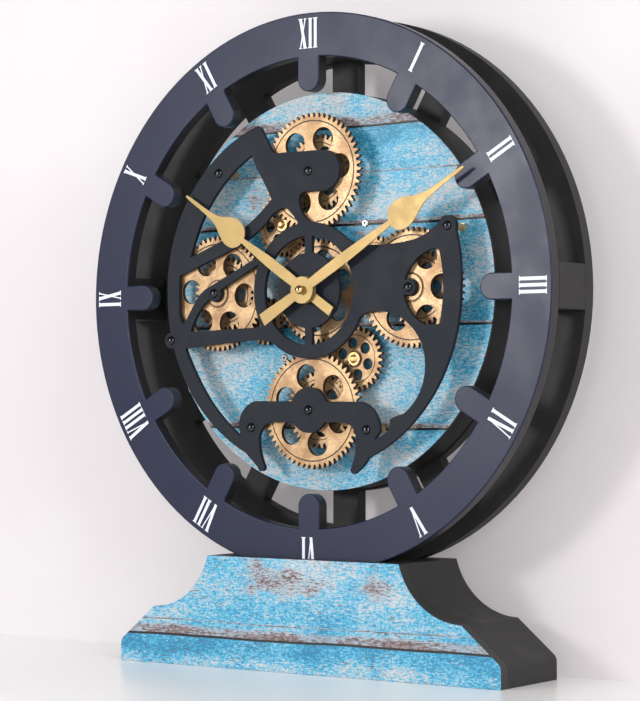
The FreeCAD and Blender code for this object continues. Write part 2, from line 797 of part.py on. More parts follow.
collar_seat = value("disc_front + disc_thickness - rear_layer_depth + hub_front_gap")
collar_top = collar_seat + value("post_collar_thickness")
head_top = value("disc_front + disc_thickness - post_head_front")
post_shape = turned([
    (0, 0),
    (value("axle_radius"), 0),
    (value("axle_radius"), collar_seat),
    (value("post_collar_radius"), collar_seat),
    (value("post_collar_radius"), collar_top),
    (value("post_head_radius"), collar_top),
    (value("post_head_radius"), head_top - value("post_head_round")),
    (value("post_head_radius - post_head_round"), head_top),
    (0, head_top),
])
keep(shaped("posts", repeated(post_shape, post_places), back="disc_front + disc_thickness"), "idler_posts")

# Face disc and the drum wall behind it

PIN_CLEARANCE = "axle_radius + screw_clearance"
pinion_reach = MODULE * (centre_teeth + value("pinion_teeth")) / 2
pinion_place = polar_place(pinion_reach, value("pinion_turn"))
STANDOFFS = {
    "upper_left": (-0.72, 0.795),
    "left": (-1.12, -0.29),
    "lower_left": (-0.455, -0.86),
    "lower_right": (0.445, -0.87),
    "right": (1.045, 0.38),
}
reach = value("bridge_reach")
rise = value("works_rise")
standoff_places = [(x * reach, y * reach - rise) for x, y in STANDOFFS.values()]
face_x, face_rise = value("face_screw_x"), value("face_screw_rise")
eyelet_places = [(face_x, face_rise), (-face_x, -face_rise)]


def through_holes(name, places, radius, thickness, back):
    """Drill cylinders for a plate, past both its faces."""
    drills = []
    for number, (x, y) in enumerate(places):
        drill = cylinder("%s_%d" % (name, number), radius, "3 * (%s)" % thickness,
                         repr(x), "%s + %s" % (back, thickness), "%s + %r" % (SHAFT_HEIGHT, y))
        drills.append(drill)
    return drills


DISC_BACK = "disc_front + disc_thickness"
disc_blank = cylinder("disc_blank", "disc_radius", "disc_thickness", back=DISC_BACK)
disc_drills = through_holes("axle_seat", axle_places + post_places, PIN_CLEARANCE, "disc_thickness",
                            DISC_BACK)
disc_drills += through_holes("stud_seat", standoff_places + eyelet_places,
                             "face_screw_radius + screw_clearance", "disc_thickness", DISC_BACK)
disc_drills += through_holes("shaft_seat", [(0, 0)], "bush_radius + screw_clearance",
                             "disc_thickness", DISC_BACK)
disc_drills += through_holes("pinion_seat", [pinion_place], "axle_radius + running_clearance",
                             "disc_thickness", DISC_BACK)
keep(cut("face", disc_blank, *disc_drills), "face_disc")

DRUM_DEPTH = "frame_depth - ring_thickness - disc_front - disc_thickness"
drum_outer = cylinder("drum_outer", "disc_radius", DRUM_DEPTH, back="frame_depth - ring_thickness")
drum_inner = cylinder("drum_inner", "disc_radius - drum_wall", DRUM_DEPTH,
                      back="frame_depth - ring_thickness")
keep(cut("drum", drum_outer, drum_inner), "drum_wall")

eyelet_bore = value("face_screw_radius") / 2
eyelet_length = value("disc_thickness + 2 * face_screw_head_height")
head, lip = value("face_screw_head_radius"), value("face_screw_head_height")
eyelet = turned([
    (eyelet_bore, 0),
    (head, 0),
    (head, lip),
    (value("face_screw_radius"), lip),
    (value("face_screw_radius"), eyelet_length - lip),
    (head, eyelet_length - lip),
    (head, eyelet_length - lip / 2),
    (head - lip / 2, eyelet_length),
    (eyelet_bore, eyelet_length),
])
keep(shaped("eyelets", repeated(eyelet, eyelet_places), back=DISC_BACK + " + face_screw_head_height"),
     "face_eyelets")

# Bridge: a plate sawn to rings, arms and claws. Its outlines are shares of bridge_reach,
# measured from the middle of the dial; a third word marks the middle of an arc.

BRIDGE_SHARES = [
    (-0.405, 1.085), (-0.995, 0.605, "arc"), (-1.15, 0.0), (-0.93, -0.667, "arc"), (-0.50, -1.025),
    (-0.452, -1.07, "arc"), (-0.40, -1.12), (-0.367, -1.14, "arc"), (-0.35, -1.11),
    (-0.385, -1.02, "arc"), (-0.395, -0.94), (-0.365, -0.865, "arc"), (-0.30, -0.825),
    (0.25, -0.825), (0.332, -0.853, "arc"), (0.365, -0.92), (0.36, -1.01, "arc"), (0.325, -1.115),
    (0.335, -1.142, "arc"), (0.37, -1.135), (0.42, -1.095, "arc"), (0.46, -1.045),
    (0.905, -0.695, "arc"), (1.14, 0.0), (1.135, 0.19, "arc"), (1.10, 0.37), (0.99, 0.41),
    (0.89, 0.338, "arc"), (0.76, 0.298), (0.60, 0.283, "arc"), (0.45, 0.285),
    (0.315, 0.322, "arc"), (0.22, 0.383), (0.05, 0.38), (0.03, 0.44), (-0.055, 0.515, "arc"),
    (-0.075, 0.59), (-0.062, 0.625, "arc"), (-0.02, 0.64), (0.11, 0.64), (0.24, 0.77, "arc"),
    (0.11, 0.90), (-0.265, 0.90), (-0.29, 0.915), (-0.38, 1.075),
]
BRIDGE_WINDOW_SHARES = [
    [
        (-0.45, 0.90), (-0.41, 0.81), (-0.345, 0.705, "arc"), (-0.29, 0.605), (-0.38, 0.525, "arc"),
        (-0.51, 0.43), (-0.70, 0.352, "arc"), (-0.955, 0.255), (-0.80, 0.585, "arc"), (-0.50, 0.87),
    ],
    [
        (-0.08, 0.445), (-0.25, 0.33), (-0.38, 0.25), (-0.80, 0.055), (-0.88, 0.005, "arc"),
        (-0.93, -0.06), (-1.005, -0.178), (-1.03, -0.175), (-1.05, -0.12), (-1.05, 0.135),
        (-0.80, 0.225, "arc"), (-0.58, 0.305), (-0.44, 0.38, "arc"), (-0.33, 0.46),
        (-0.26, 0.525, "arc"), (-0.18, 0.55), (-0.125, 0.50, "arc"),
    ],
    [
        (-0.40, 0.19), (-0.68, 0.05), (-0.82, -0.035), (-0.875, -0.09, "arc"), (-0.955, -0.235),
        (-0.38, -0.215), (-0.35, 0.0),
    ],
    [
        (-1.00, -0.345), (-0.70, -0.315), (-0.40, -0.295), (0.0, -0.36), (0.32, -0.25), (0.36, -0.215),
        (0.41, -0.155, "arc"), (0.50, -0.135), (0.735, -0.195, "arc"), (0.865, -0.36),
        (0.865, -0.58, "arc"), (0.72, -0.77), (0.65, -0.79, "arc"), (0.62, -0.805),
        (0.612, -0.86, "arc"), (0.57, -0.90), (0.505, -0.93), (0.545, -0.88), (0.52, -0.78, "arc"),
        (0.40, -0.695), (-0.42, -0.69), (-0.52, -0.75, "arc"), (-0.555, -0.86), (-0.54, -0.92),
        (-0.70, -0.79, "arc"), (-0.80, -0.68), (-0.92, -0.50, "arc"),
    ],
    [
        (0.985, 0.24), (0.95, 0.245), (0.82, 0.185, "arc"), (0.735, 0.07), (0.73, -0.06),
        (0.785, -0.155, "arc"), (0.88, -0.22), (0.985, -0.22), (1.015, 0.0, "arc"),
    ],
]


def share_wire(shares, scale):
    """A closed wire of lines and arcs through points given as shares of a size."""
    points = [Vector(step[0] * scale, step[1] * scale, 0) for step in shares]
    points.append(points[0])
    kinds = [len(step) == 3 for step in shares] + [False]
    edges = []
    number = 0
    while number < len(points) - 1:
        if kinds[number + 1]:
            edges.append(Part.Arc(points[number], points[number + 1], points[number + 2]).toShape())
            number += 2
        else:
            edges.append(Part.LineSegment(points[number], points[number + 1]).toShape())
            number += 1
    return Part.Wire(edges)


def disc_at(radius, x=0.0, y=0.0):
    return Part.makeCylinder(radius, value("bridge_thickness"), Vector(x, y, 0))


def bridge_plate():
    thick = value("bridge_thickness")
    rise = value("works_rise")
    body = plate([share_wire(BRIDGE_SHARES, reach)], thick)
    body = body.cut([plate([share_wire(shares, reach)], thick) for shares in BRIDGE_WINDOW_SHARES])
    standoffs = {name: (x, y + rise) for name, (x, y) in zip(STANDOFFS, standoff_places)}
    axles = {side: (x, y + rise) for side, (x, y) in zip(AXLES, axle_places)}
    body = body.fuse([
        disc_at(value("hub_ring_radius"), 0, rise),
        disc_at(value("foot_hub_radius"), *axles["foot"]),
        disc_at(value("side_tab_radius"), *axles["right"]),
        disc_at(value("left_ear_radius"), *axles["left"]),
        disc_at(value("left_ear_radius"), *standoffs["left"]),
        disc_at(value("right_ear_radius"), *standoffs["right"]),
    ])
    body = body.cut(disc_at(value("hub_ring_inner_radius"), 0, rise))
    bar_width = value("hub_bar_width")
    bar_reach = value("hub_ring_inner_radius") + bar_width
    bar = Part.makeBox(bar_width, 2 * bar_reach, thick, Vector(-bar_width / 2, rise - bar_reach, 0))
    body = body.fuse([disc_at(value("hub_disc_radius"), 0, rise), bar])
    drill = value("screw_radius + screw_clearance")
    drills = [disc_at(drill, x, y) for x, y in list(standoffs.values()) + list(axles.values())]
    drills.append(disc_at(value("hour_pipe_radius + 4 * running_clearance"), 0, rise))
    return body.cut(drills).removeSplitter()


keep(shaped("bridge", bridge_plate(), back="bridge_thickness", height="dial_centre_height"), "bridge_plate")

standoff_top = value("disc_front + disc_thickness - bridge_thickness")
standoff = turned([
    (0, 0),
    (value("face_screw_radius"), 0),
    (value("face_screw_radius"), value("disc_thickness")),
    (value("standoff_foot_radius"), value("disc_thickness")),
    (value("standoff_foot_radius"), value("disc_thickness + standoff_foot_thickness")),
    (value("standoff_radius"), value("disc_thickness + standoff_foot_thickness")),
    (value("standoff_radius"), standoff_top),
    (tap, standoff_top),
    (tap, standoff_top - tap_depth),
    (0, standoff_top - tap_depth),
])
keep(shaped("standoffs", repeated(standoff, standoff_places), back=DISC_BACK), "bridge_standoffs")

screw_top = value("screw_length + screw_head_height")
head_edge = value("screw_length") + value("screw_head_height") / 3
screw = turned([
    (0, 0),
    (value("screw_radius"), 0),
    (value("screw_radius"), value("screw_length")),
    (value("screw_head_radius"), value("screw_length")),
    (value("screw_head_radius"), head_edge),
    dome_middle(value("screw_head_radius"), head_edge, screw_top),
    (0, screw_top),
])
keep(shaped("screws", repeated(screw, standoff_places + axle_places), back="screw_length"), "bridge_screws")

# Movement: a square case behind the face, whose threaded bush passes through it

CASE_BACK = DISC_BACK + " + case_depth"
BAY_TOP = "case_bay_height - case_width / 2"
inner_width = "case_width - 2 * case_wall"
case_block = box("case_block", "case_width", "case_width", "case_depth", back=CASE_BACK)
case_room = box("case_room", inner_width, "case_width - case_bay_height - case_wall",
                "case_depth - case_wall", back=CASE_BACK,
                height=SHAFT_HEIGHT + " + (case_bay_height - case_wall) / 2")
case_bay = box("case_bay", inner_width, "case_bay_height - 2 * case_wall", "case_depth - case_wall",
               back=CASE_BACK, height=SHAFT_HEIGHT + " + (case_bay_height - case_width) / 2")
case_bush = cylinder("case_bush", "bush_radius", "disc_front + disc_thickness - bush_front", back=DISC_BACK)
bush_bore = cylinder("bush_bore", "hour_pipe_radius + running_clearance", "2 * case_depth",
                     back=DISC_BACK + " + case_wall")
case_shell = cut("case_shell", case_block, case_room, case_bay)
FRAME_MIDDLE = "case_width / 4 - case_wall / 2"
FRAME_RISE = "(case_width / 4 - case_wall / 2)"
FRAME_FRONT = DISC_BACK + " + case_depth / 2"
FRAME_HALF_WIDTH = "((coil_length + stator_bar) / 2)"
FRAME_TOP = "(%s + stator_height / 2)" % FRAME_RISE
FRAME_FOOT = "(%s - stator_height / 2)" % FRAME_RISE
BOARD_FRONT = FRAME_FRONT + " + stator_thickness + works_thickness"
BOARD_RISE = "(%s + board_gap + board_height / 2)" % BAY_TOP
BOSSES = [
    (FRAME_MIDDLE + " + " + FRAME_HALF_WIDTH, FRAME_TOP + " - coil_core_radius", FRAME_FRONT),
    (FRAME_MIDDLE + " - " + FRAME_HALF_WIDTH, FRAME_TOP + " - coil_core_radius", FRAME_FRONT),
    (FRAME_MIDDLE + " + " + FRAME_HALF_WIDTH, FRAME_FOOT + " + stator_bar / 2", FRAME_FRONT),
    (FRAME_MIDDLE + " + board_width / 4", BOARD_RISE, BOARD_FRONT),
]
case_bosses = []
for number, (x, lift, front) in enumerate(BOSSES):
    length = "(%s) - (%s)" % (front, DISC_BACK)
    height = SHAFT_HEIGHT + " + " + lift
    case_bosses.append(cylinder("boss_%d" % number, "boss_radius", length, x, front, height))
case_whole = fuse("case_whole", case_shell, case_bush, *case_bosses)
keep(cut("movement_case_bored", case_whole, bush_bore), "movement_case")

works_reach = value("works_module * (cannon_teeth + works_wheel_teeth) / 2")
works_place = polar_place(works_reach, value("works_turn"))
works_back = {"x": repr(works_place[0]), "height": "%s + %r" % (SHAFT_HEIGHT, works_place[1])}
cover_plate = box("cover_plate", inner_width, "case_width - case_bay_height - case_wall", "case_wall",
                  back=CASE_BACK, height=SHAFT_HEIGHT + " + (case_bay_height - case_wall) / 2")
knob_hole = cylinder("knob_hole", "arbor_radius + running_clearance", "3 * case_wall",
                     works_back["x"], CASE_BACK + " + case_wall", works_back["height"])
pivot_hole = cylinder("pivot_hole", "arbor_radius + running_clearance", "case_wall",
                      back=CASE_BACK + " - case_wall / 2")
keep(cut("cover", cover_plate, knob_hole, pivot_hole), "movement_cover")

NUT_SEATS = {"rear": "disc_front", "front": "rear_layer_depth - hub_front_gap"}
nuts = []
for place, back in NUT_SEATS.items():
    blank = doc.addObject("Part::Prism", place + "_nut_blank")
    blank.Polygon = 6
    bind(blank, Circumradius="nut_flats / (2 * cos(180 deg / 6))", Height="nut_thickness")
    seat(blank, back=back)
    bore = cylinder(place + "_nut_bore", "bush_radius + screw_clearance", "3 * nut_thickness",
                    back=back + " + nut_thickness")
    nuts.append(cut(place + "_nut", blank, bore))
keep(group("nuts", nuts), "bush_nuts")

WORKS_MODULE = value("works_module")
WORKS_BACKLASH = value("works_backlash")
WORKS_FRONT = DISC_BACK + " + case_wall + works_gap"
LOWER_BACK = WORKS_FRONT + " + works_thickness"
UPPER_BACK = LOWER_BACK + " + works_gap + works_thickness"


def small_gear(teeth_name, turn, bore, module=WORKS_MODULE, backlash=WORKS_BACKLASH, thick="works_thickness"):
    wires = [gear_wire(int(value(teeth_name)), module, backlash, turn)]
    if bore:
        wires.append(ring_wire(bore))
    return plate(wires, value(thick))


arbor_bore = value("arbor_radius + running_clearance")
pipe_bore = value("hour_pipe_radius - hour_pipe_wall")
minute_arbor_radius = pipe_bore - value("running_clearance")
hour_back = value(LOWER_BACK)
hour_turn = 0.0
hour_wheel = small_gear("hour_wheel_teeth", hour_turn, pipe_bore)
hour_pipe = plate([ring_wire(value("hour_pipe_radius")), ring_wire(pipe_bore)],
                  hour_back - value("-hour_hand_lead"))
keep(shaped("hour_wheel", hour_wheel.fuse(hour_pipe).removeSplitter(), back=LOWER_BACK), "hour_wheel")

minute_turn = 0.0
cannon = small_gear("cannon_teeth", minute_turn, 0)
upper_back = value(UPPER_BACK)
cannon_front = upper_back - value("-minute_hand_lead")
stud_length = value("hand_nut_radius")
arbor = cannon.fuse([
    Part.makeCylinder(minute_arbor_radius, cannon_front),
    Part.makeCylinder(minute_arbor_radius / 2, cannon_front + stud_length),
    Part.makeCylinder(value("arbor_radius"), value(CASE_BACK + " - case_wall") - upper_back
                      + value("case_wall") / 2 - value("works_gap"),
                      Vector(0, 0, 0), Vector(0, 0, -1)),
]).removeSplitter()
keep(shaped("minute_arbor", arbor, back=UPPER_BACK), "minute_arbor")

works_turn = mesh_turn((0, 0), minute_turn, value("cannon_teeth"), works_place, value("works_wheel_teeth"))
pinion_turn = mesh_turn((0, 0), hour_turn, value("hour_wheel_teeth"), works_place,
                        value("works_pinion_teeth"))
works_wheel = small_gear("works_wheel_teeth", works_turn, arbor_bore)
works_pinion = small_gear("works_pinion_teeth", pinion_turn, arbor_bore)
works_pinion.translate(Vector(0, 0, value("works_thickness + works_gap")))
works_collar = plate([ring_wire(value("arbor_radius") * 2), ring_wire(arbor_bore)], value("works_gap"))
works_collar.translate(Vector(0, 0, value("works_thickness")))
works = works_wheel.fuse([works_collar, works_pinion]).removeSplitter()
keep(shaped("works", works, back=UPPER_BACK, **works_back), "works_wheel")

KNOB_BACK = CASE_BACK + " + knob_gap + knob_thickness"
knob_radius = value("knob_radius")
knob = Part.makeCylinder(knob_radius, value("knob_thickness"))
notches = []
for number in range(int(value("knob_ribs"))):
    x, y = polar_place(knob_radius, 360 * number / value("knob_ribs"))
    notches.append(Part.makeCylinder(knob_radius / value("knob_ribs"), value("knob_thickness"),
                                     Vector(x, y, 0)))
knob = knob.cut(notches)
knob_shaft = Part.makeCylinder(value("arbor_radius"), value(KNOB_BACK) - value(WORKS_FRONT))
keep(shaped("knob", knob.fuse(knob_shaft).removeSplitter(), back=KNOB_BACK, **works_back), "set_knob")

# Coil on the iron frame of the stepping motor

FRAME_BACK = FRAME_FRONT + " + stator_thickness"
frame_outer = box("frame_outer", "coil_length + 2 * stator_bar", "stator_height", "stator_thickness",
                  FRAME_MIDDLE, FRAME_BACK, SHAFT_HEIGHT + " + " + FRAME_RISE)
frame_inner = box("frame_inner", "coil_length", "stator_height - stator_bar - coil_core_radius",
                  "stator_thickness", FRAME_MIDDLE, FRAME_BACK,
                  SHAFT_HEIGHT + " + " + FRAME_RISE + " + (stator_bar - coil_core_radius) / 2")
keep(cut("stator", frame_outer, frame_inner), "motor_stator")

coil_half = value("coil_length") / 2
coil_end = coil_half - value("coil_end_thickness")
coil = turned([
    (value("coil_core_radius"), -coil_half),
    (value("coil_end_radius"), -coil_half),
    (value("coil_end_radius"), -coil_end),
    (value("coil_radius"), -coil_end),
    (value("coil_radius"), coil_end),
    (value("coil_end_radius"), coil_end),
    (value("coil_end_radius"), coil_half),
    (value("coil_core_radius"), coil_half),
])
COIL_RISE = FRAME_RISE + " + (stator_height - coil_core_radius) / 2"
keep(shaped("coil", laid(coil), x=FRAME_MIDDLE, back=FRAME_FRONT + " + stator_thickness / 2",
            height=SHAFT_HEIGHT + " + " + COIL_RISE), "motor_coil")

board = box("board_plate", "board_width", "board_height", "board_thickness", FRAME_MIDDLE,
            BOARD_FRONT + " + board_thickness", SHAFT_HEIGHT + " + " + BOARD_RISE)
chip = cylinder("board_chip", "board_height / 4", "1.5 * board_thickness", FRAME_MIDDLE,
                BOARD_FRONT + " + 2 * board_thickness", SHAFT_HEIGHT + " + " + BOARD_RISE)
keep(fuse("board", board, chip), "movement_board")

# Dry cells: a plain can with its nub, and the contacts at their two ends


def dry_cell():
    half = value("cell_length") / 2
    radius = value("cell_radius")
    chamfer = value("cell_clearance")
    nub, nub_top = value("cell_nub_radius"), half + value("cell_nub_length")
    shape = turned([(0, -half), (radius - chamfer, -half), (radius, chamfer - half), (radius, half - chamfer),
                    (radius - chamfer, half), (nub, half), (nub, nub_top), (0, nub_top)])
    return laid(shape)


def cell_contacts(room):
    """A flat contact for the nub and a cone spring on a plate for the other end."""
    thin = value("contact_thickness")
    wide = value("cell_radius")
    flat = Part.makeBox(thin, wide, wide, Vector(room / 2 - thin, -wide / 2, -wide / 2))
    far = Part.makeBox(thin, wide, wide, Vector(-room / 2, -wide / 2, -wide / 2))
    gap = room - 2 * thin - value("cell_length + cell_nub_length")
    spring = Part.makeCone(wide / 2, wide / 4, gap, Vector(thin - room / 2, 0, 0), Vector(1, 0, 0))
    spring = spring.cut(Part.makeCone(wide / 2 - thin, wide / 4 - thin, gap,
                                      Vector(thin - room / 2, 0, 0), Vector(1, 0, 0)))
    return Part.makeCompound([flat, far.fuse(spring).removeSplitter()])


def cell_shift(room):
    """The middle of a cell whose nub touches the flat contact."""
    return room / 2 - value("contact_thickness + cell_nub_length") - value("cell_length") / 2


bay_room = value(inner_width)
BAY_RISE = " + (case_bay_height - case_width) / 2"
CELL_BACK = DISC_BACK + " + case_wall + cell_clearance + cell_radius"
keep(shaped("cell", dry_cell(), x=repr(cell_shift(bay_room)), back=CELL_BACK,
            height=SHAFT_HEIGHT + BAY_RISE), "movement_cell")
keep(shaped("contacts", cell_contacts(bay_room), back=CELL_BACK, height=SHAFT_HEIGHT + BAY_RISE),
     "movement_contacts")

# Drive of the gear train: a pinion on the gearbox's shaft turns the centre gear

drive_turn = mesh_turn((0, 0), centre_turn, centre_teeth, pinion_place, value("pinion_teeth"))
at_pinion = {"x": repr(pinion_place[0]), "height": "%s + %r" % (SHAFT_HEIGHT, pinion_place[1])}
GEARBOX_BACK = DISC_BACK + " + gearbox_depth"
shaft_end = value(GEARBOX_BACK) - value("gearbox_wall") / 2
pinion = plate([gear_wire(int(value("pinion_teeth")), MODULE, value("gear_backlash"), drive_turn)],
               value("gear_thickness"))
shaft_length = shaft_end - value(REAR_GEAR_BACK)
pinion_shaft = Part.makeCylinder(value("axle_radius"), shaft_length, Vector(), Vector(0, 0, -1))
keep(shaped("pinion", pinion.fuse(pinion_shaft).removeSplitter(), back=REAR_GEAR_BACK, **at_pinion),
     "drive_pinion")

side_room = pinion_place[0] - value("case_width / 2 + gearbox_gap + gearbox_wall + drive_wheel_room")
DRIVE_MODULE = side_room / (value("drive_wheel_teeth") / 2 + 1)
drive_reach = DRIVE_MODULE * (value("drive_wheel_teeth") + value("drive_pinion_teeth")) / 2
step_x, step_y = polar_place(drive_reach, value("drive_turn"))
motor_place = (pinion_place[0] + step_x, pinion_place[1] + step_y)
DRIVE_BACK = DISC_BACK + " + gearbox_wall + works_gap + drive_wheel_thickness"
drive_wheel = small_gear("drive_wheel_teeth", 0.0, AXLE_BORE, DRIVE_MODULE, WORKS_BACKLASH,
                         "drive_wheel_thickness")
keep(shaped("drive_wheel", drive_wheel, back=DRIVE_BACK, **at_pinion), "drive_wheel")
motor_turn = mesh_turn(pinion_place, 0.0, value("drive_wheel_teeth"), motor_place,
                       value("drive_pinion_teeth"))
motor_pinion = small_gear("drive_pinion_teeth", motor_turn, 0, DRIVE_MODULE, WORKS_BACKLASH,
                          "drive_wheel_thickness")
motor_shaft_length = value(GEARBOX_BACK) + value("motor_length") / 2 - value(DRIVE_BACK)
motor_shaft = Part.makeCylinder(value("motor_shaft_radius"), motor_shaft_length, Vector(), Vector(0, 0, -1))
keep(shaped("motor_pinion", motor_pinion.fuse(motor_shaft).removeSplitter(),
            **at_works(motor_place, DRIVE_BACK)), "motor_pinion")

wheel_reach = side_room + value("drive_wheel_room + gearbox_wall")
box_top = pinion_place[1] + wheel_reach
box_foot = motor_place[1] - value("motor_radius + drive_wheel_room")
box_width, box_tall = repr(2 * wheel_reach), repr(box_top - box_foot)
box_x = repr(pinion_place[0])
box_height = "%s + %r" % (SHAFT_HEIGHT, (box_top + box_foot) / 2)
gearbox_block = box("gearbox_block", box_width, box_tall, "gearbox_depth - gearbox_wall",
                    box_x, GEARBOX_BACK + " - gearbox_wall", box_height)
gearbox_room = box("gearbox_room", box_width + " - 2 * gearbox_wall", box_tall + " - 2 * gearbox_wall",
                   "gearbox_depth - 2 * gearbox_wall", box_x, GEARBOX_BACK + " - gearbox_wall", box_height)
gearbox_hole = cylinder("gearbox_hole", "axle_radius + running_clearance", "3 * gearbox_wall",
                        at_pinion["x"], DISC_BACK + " + 2 * gearbox_wall", at_pinion["height"])
keep(cut("gearbox", gearbox_block, gearbox_room, gearbox_hole), "gearbox_case")
lid_plate = box("lid_plate", box_width, box_tall, "gearbox_wall", box_x, GEARBOX_BACK, box_height)
lid_seat = cylinder("lid_seat", "axle_radius + running_clearance", "gearbox_wall", at_pinion["x"],
                    GEARBOX_BACK + " - gearbox_wall / 2", at_pinion["height"])
motor_at = at_works(motor_place, "")
lid_bore = cylinder("lid_bore", "motor_shaft_radius + running_clearance", "3 * gearbox_wall", motor_at["x"],
                    GEARBOX_BACK + " + gearbox_wall", motor_at["height"])
keep(cut("lid", lid_plate, lid_seat, lid_bore), "gearbox_lid")
motor_can = cylinder("motor_can", "motor_radius", "motor_length", motor_at["x"],
                     GEARBOX_BACK + " + motor_length", motor_at["height"])
motor_bore = cylinder("motor_bore", "motor_shaft_radius + running_clearance", "motor_length",
                      motor_at["x"], GEARBOX_BACK + " + motor_bore_depth", motor_at["height"])
keep(cut("motor", motor_can, motor_bore), "drive_motor")

# Holder of the drive's two cells, open at the back, with the slide switch on its top wall

HOLDER_ROW = "(2 * cell_radius + 2 * cell_clearance)"
HOLDER_TALL = "(2 * %s + 3 * holder_wall)" % HOLDER_ROW
HOLDER_DEEP = "(holder_wall + 2 * cell_radius + cell_clearance)"
HOLDER_HEIGHT = SHAFT_HEIGHT + " - holder_drop"
HOLDER_BACK = DISC_BACK + " + " + HOLDER_DEEP
holder_block = box("holder_block", "holder_width", HOLDER_TALL, HOLDER_DEEP, "0", HOLDER_BACK, HOLDER_HEIGHT)
SWITCH_HEIGHT = HOLDER_HEIGHT + " + (%s + switch_height) / 2" % HOLDER_TALL
switch_block = box("switch_block", "switch_width", "switch_height", HOLDER_DEEP + " - holder_wall", "0",
                   DISC_BACK + " + " + HOLDER_DEEP + " - holder_wall", SWITCH_HEIGHT)
switch_room = box("switch_room", "switch_knob_width + 2 * switch_travel + 2 * slot_clearance",
                  "switch_height / 2 + 2 * slot_clearance", "switch_knob_rise + slot_clearance", "0",
                  DISC_BACK + " + " + HOLDER_DEEP + " - holder_wall", SWITCH_HEIGHT)
rows = []
cells = []
contacts = []
holder_room = value("holder_width - 2 * holder_wall")
for number, side in enumerate((-1, 1)):
    lift = " + %d * (%s + holder_wall) / 2" % (side, HOLDER_ROW)
    rows.append(box("holder_row_%d" % number, "holder_width - 2 * holder_wall", HOLDER_ROW,
                    HOLDER_DEEP + " - holder_wall", "0", HOLDER_BACK, HOLDER_HEIGHT + lift))
    cell = shaped("drive_cell_%d" % number, dry_cell(), x=repr(-side * cell_shift(holder_room)),
                  back=DISC_BACK + " + holder_wall + cell_clearance + cell_radius",
                  height=HOLDER_HEIGHT + lift, turn=0.0 if side < 0 else 180.0)
    cells.append(cell)
    contacts.append(shaped("drive_contact_%d" % number, cell_contacts(holder_room),
                           back=DISC_BACK + " + holder_wall + cell_clearance + cell_radius",
                           height=HOLDER_HEIGHT + lift, turn=0.0 if side < 0 else 180.0))
keep(cut("holder", fuse("holder_body", holder_block, switch_block), switch_room, *rows), "cell_holder")
keep(group("drive_cells", cells), "drive_cells")
keep(group("drive_contacts", contacts), "drive_contacts")
keep(box("switch", "switch_knob_width", "switch_height / 2", "2 * switch_knob_rise", "-switch_travel",
         DISC_BACK + " + " + HOLDER_DEEP + " - holder_wall + switch_knob_rise", SWITCH_HEIGHT), "switch_knob")

# Hands: flat leaves on round hubs, and the domed nut that holds the minute hand

# half widths as shares of the leaf radius, against places along the hand as shares of the
# stretch between the hub and the leaf, then of the stretch between the leaf and the tip
ARM_SHARES = [(0.0, 0.31), (0.3, 0.38), (0.62, 0.36), (0.82, 0.28), (1.0, 0.19)]
TIP_SHARES = [(0.0, 1.0), (0.14, 0.86), (0.24, 0.6), (0.34, 0.36), (0.45, 0.24), (0.64, 0.16), (1.0, 0.08)]


def smooth_edge(points):
    curve = Part.BSplineCurve()
    curve.interpolate(points)
    return curve.toShape()


def hand_half(points_above):
    """Both long edges of a hand from the points of its upper side."""
    below = [Vector(point.x, -point.y, 0) for point in points_above]
    return smooth_edge(points_above), smooth_edge(below)


def hand_shape(tip_length, leaf_length, tail_length, tail_width, bore):
    """A hand along +X: hub, tapered arm, leaf and point one way, a square tail the other."""
    leaf, hub = value("leaf_radius"), value("hand_hub_radius")
    thick = value("hand_thickness")
    tip, middle, tail = value(tip_length), value(leaf_length), value(tail_length)
    neck = middle - leaf * math.cos(math.asin(ARM_SHARES[-1][1]))
    arm_points = [Vector(neck * along, half * leaf, 0) for along, half in ARM_SHARES]
    tip_points = [Vector(middle + (tip - middle) * along, half * leaf, 0) for along, half in TIP_SHARES]
    arm_above, arm_below = hand_half(arm_points)
    tip_above, tip_below = hand_half(tip_points)
    back_above = Part.Arc(arm_points[-1], Vector(middle - leaf * math.sqrt(0.5), leaf * math.sqrt(0.5), 0),
                          tip_points[0]).toShape()
    back_below = back_above.mirror(Vector(), Vector(0, 1, 0))
    ends = (arm_points[0], tip_points[-1])
    caps = [Part.LineSegment(point, Vector(point.x, -point.y, 0)).toShape() for point in ends]
    wire = Part.Wire(Part.__sortEdges__([arm_above, back_above, tip_above, caps[1], tip_below, back_below,
                                         arm_below, caps[0]]))
    tail_points = [Vector(0, ARM_SHARES[0][1] * leaf, 0), Vector(-tail, value(tail_width), 0)]
    tail_points += [Vector(point.x, -point.y, 0) for point in reversed(tail_points)]
    tail_plate = plate([Part.makePolygon(tail_points + tail_points[:1])], thick)
    hub_plate = Part.makeCylinder(hub, thick)
    whole = plate([wire], thick).fuse([tail_plate, hub_plate])
    return whole.cut(Part.makeCylinder(bore, thick)).removeSplitter()


HANDS = {
    "hour_hand": ("hour_tip_length", "hour_leaf_length", "hour_tail_length", "hour_tail_half_width",
                  "hour_pipe_radius + slot_clearance / 2", "-hour_hand_lead", "hour_turn"),
    "minute_hand": ("minute_tip_length", "minute_leaf_length", "minute_tail_length", "minute_tail_half_width",
                    repr(minute_arbor_radius) + " + slot_clearance / 2", "-minute_hand_lead", "minute_turn"),
}
for node, (tip, leaf, tail, tail_width, bore, depth, turn) in HANDS.items():
    hand = hand_shape(tip, leaf, tail, tail_width, value(bore))
    keep(shaped(node + "_plate", hand, back=depth + " + hand_thickness", turn=90 - value(turn)), node)

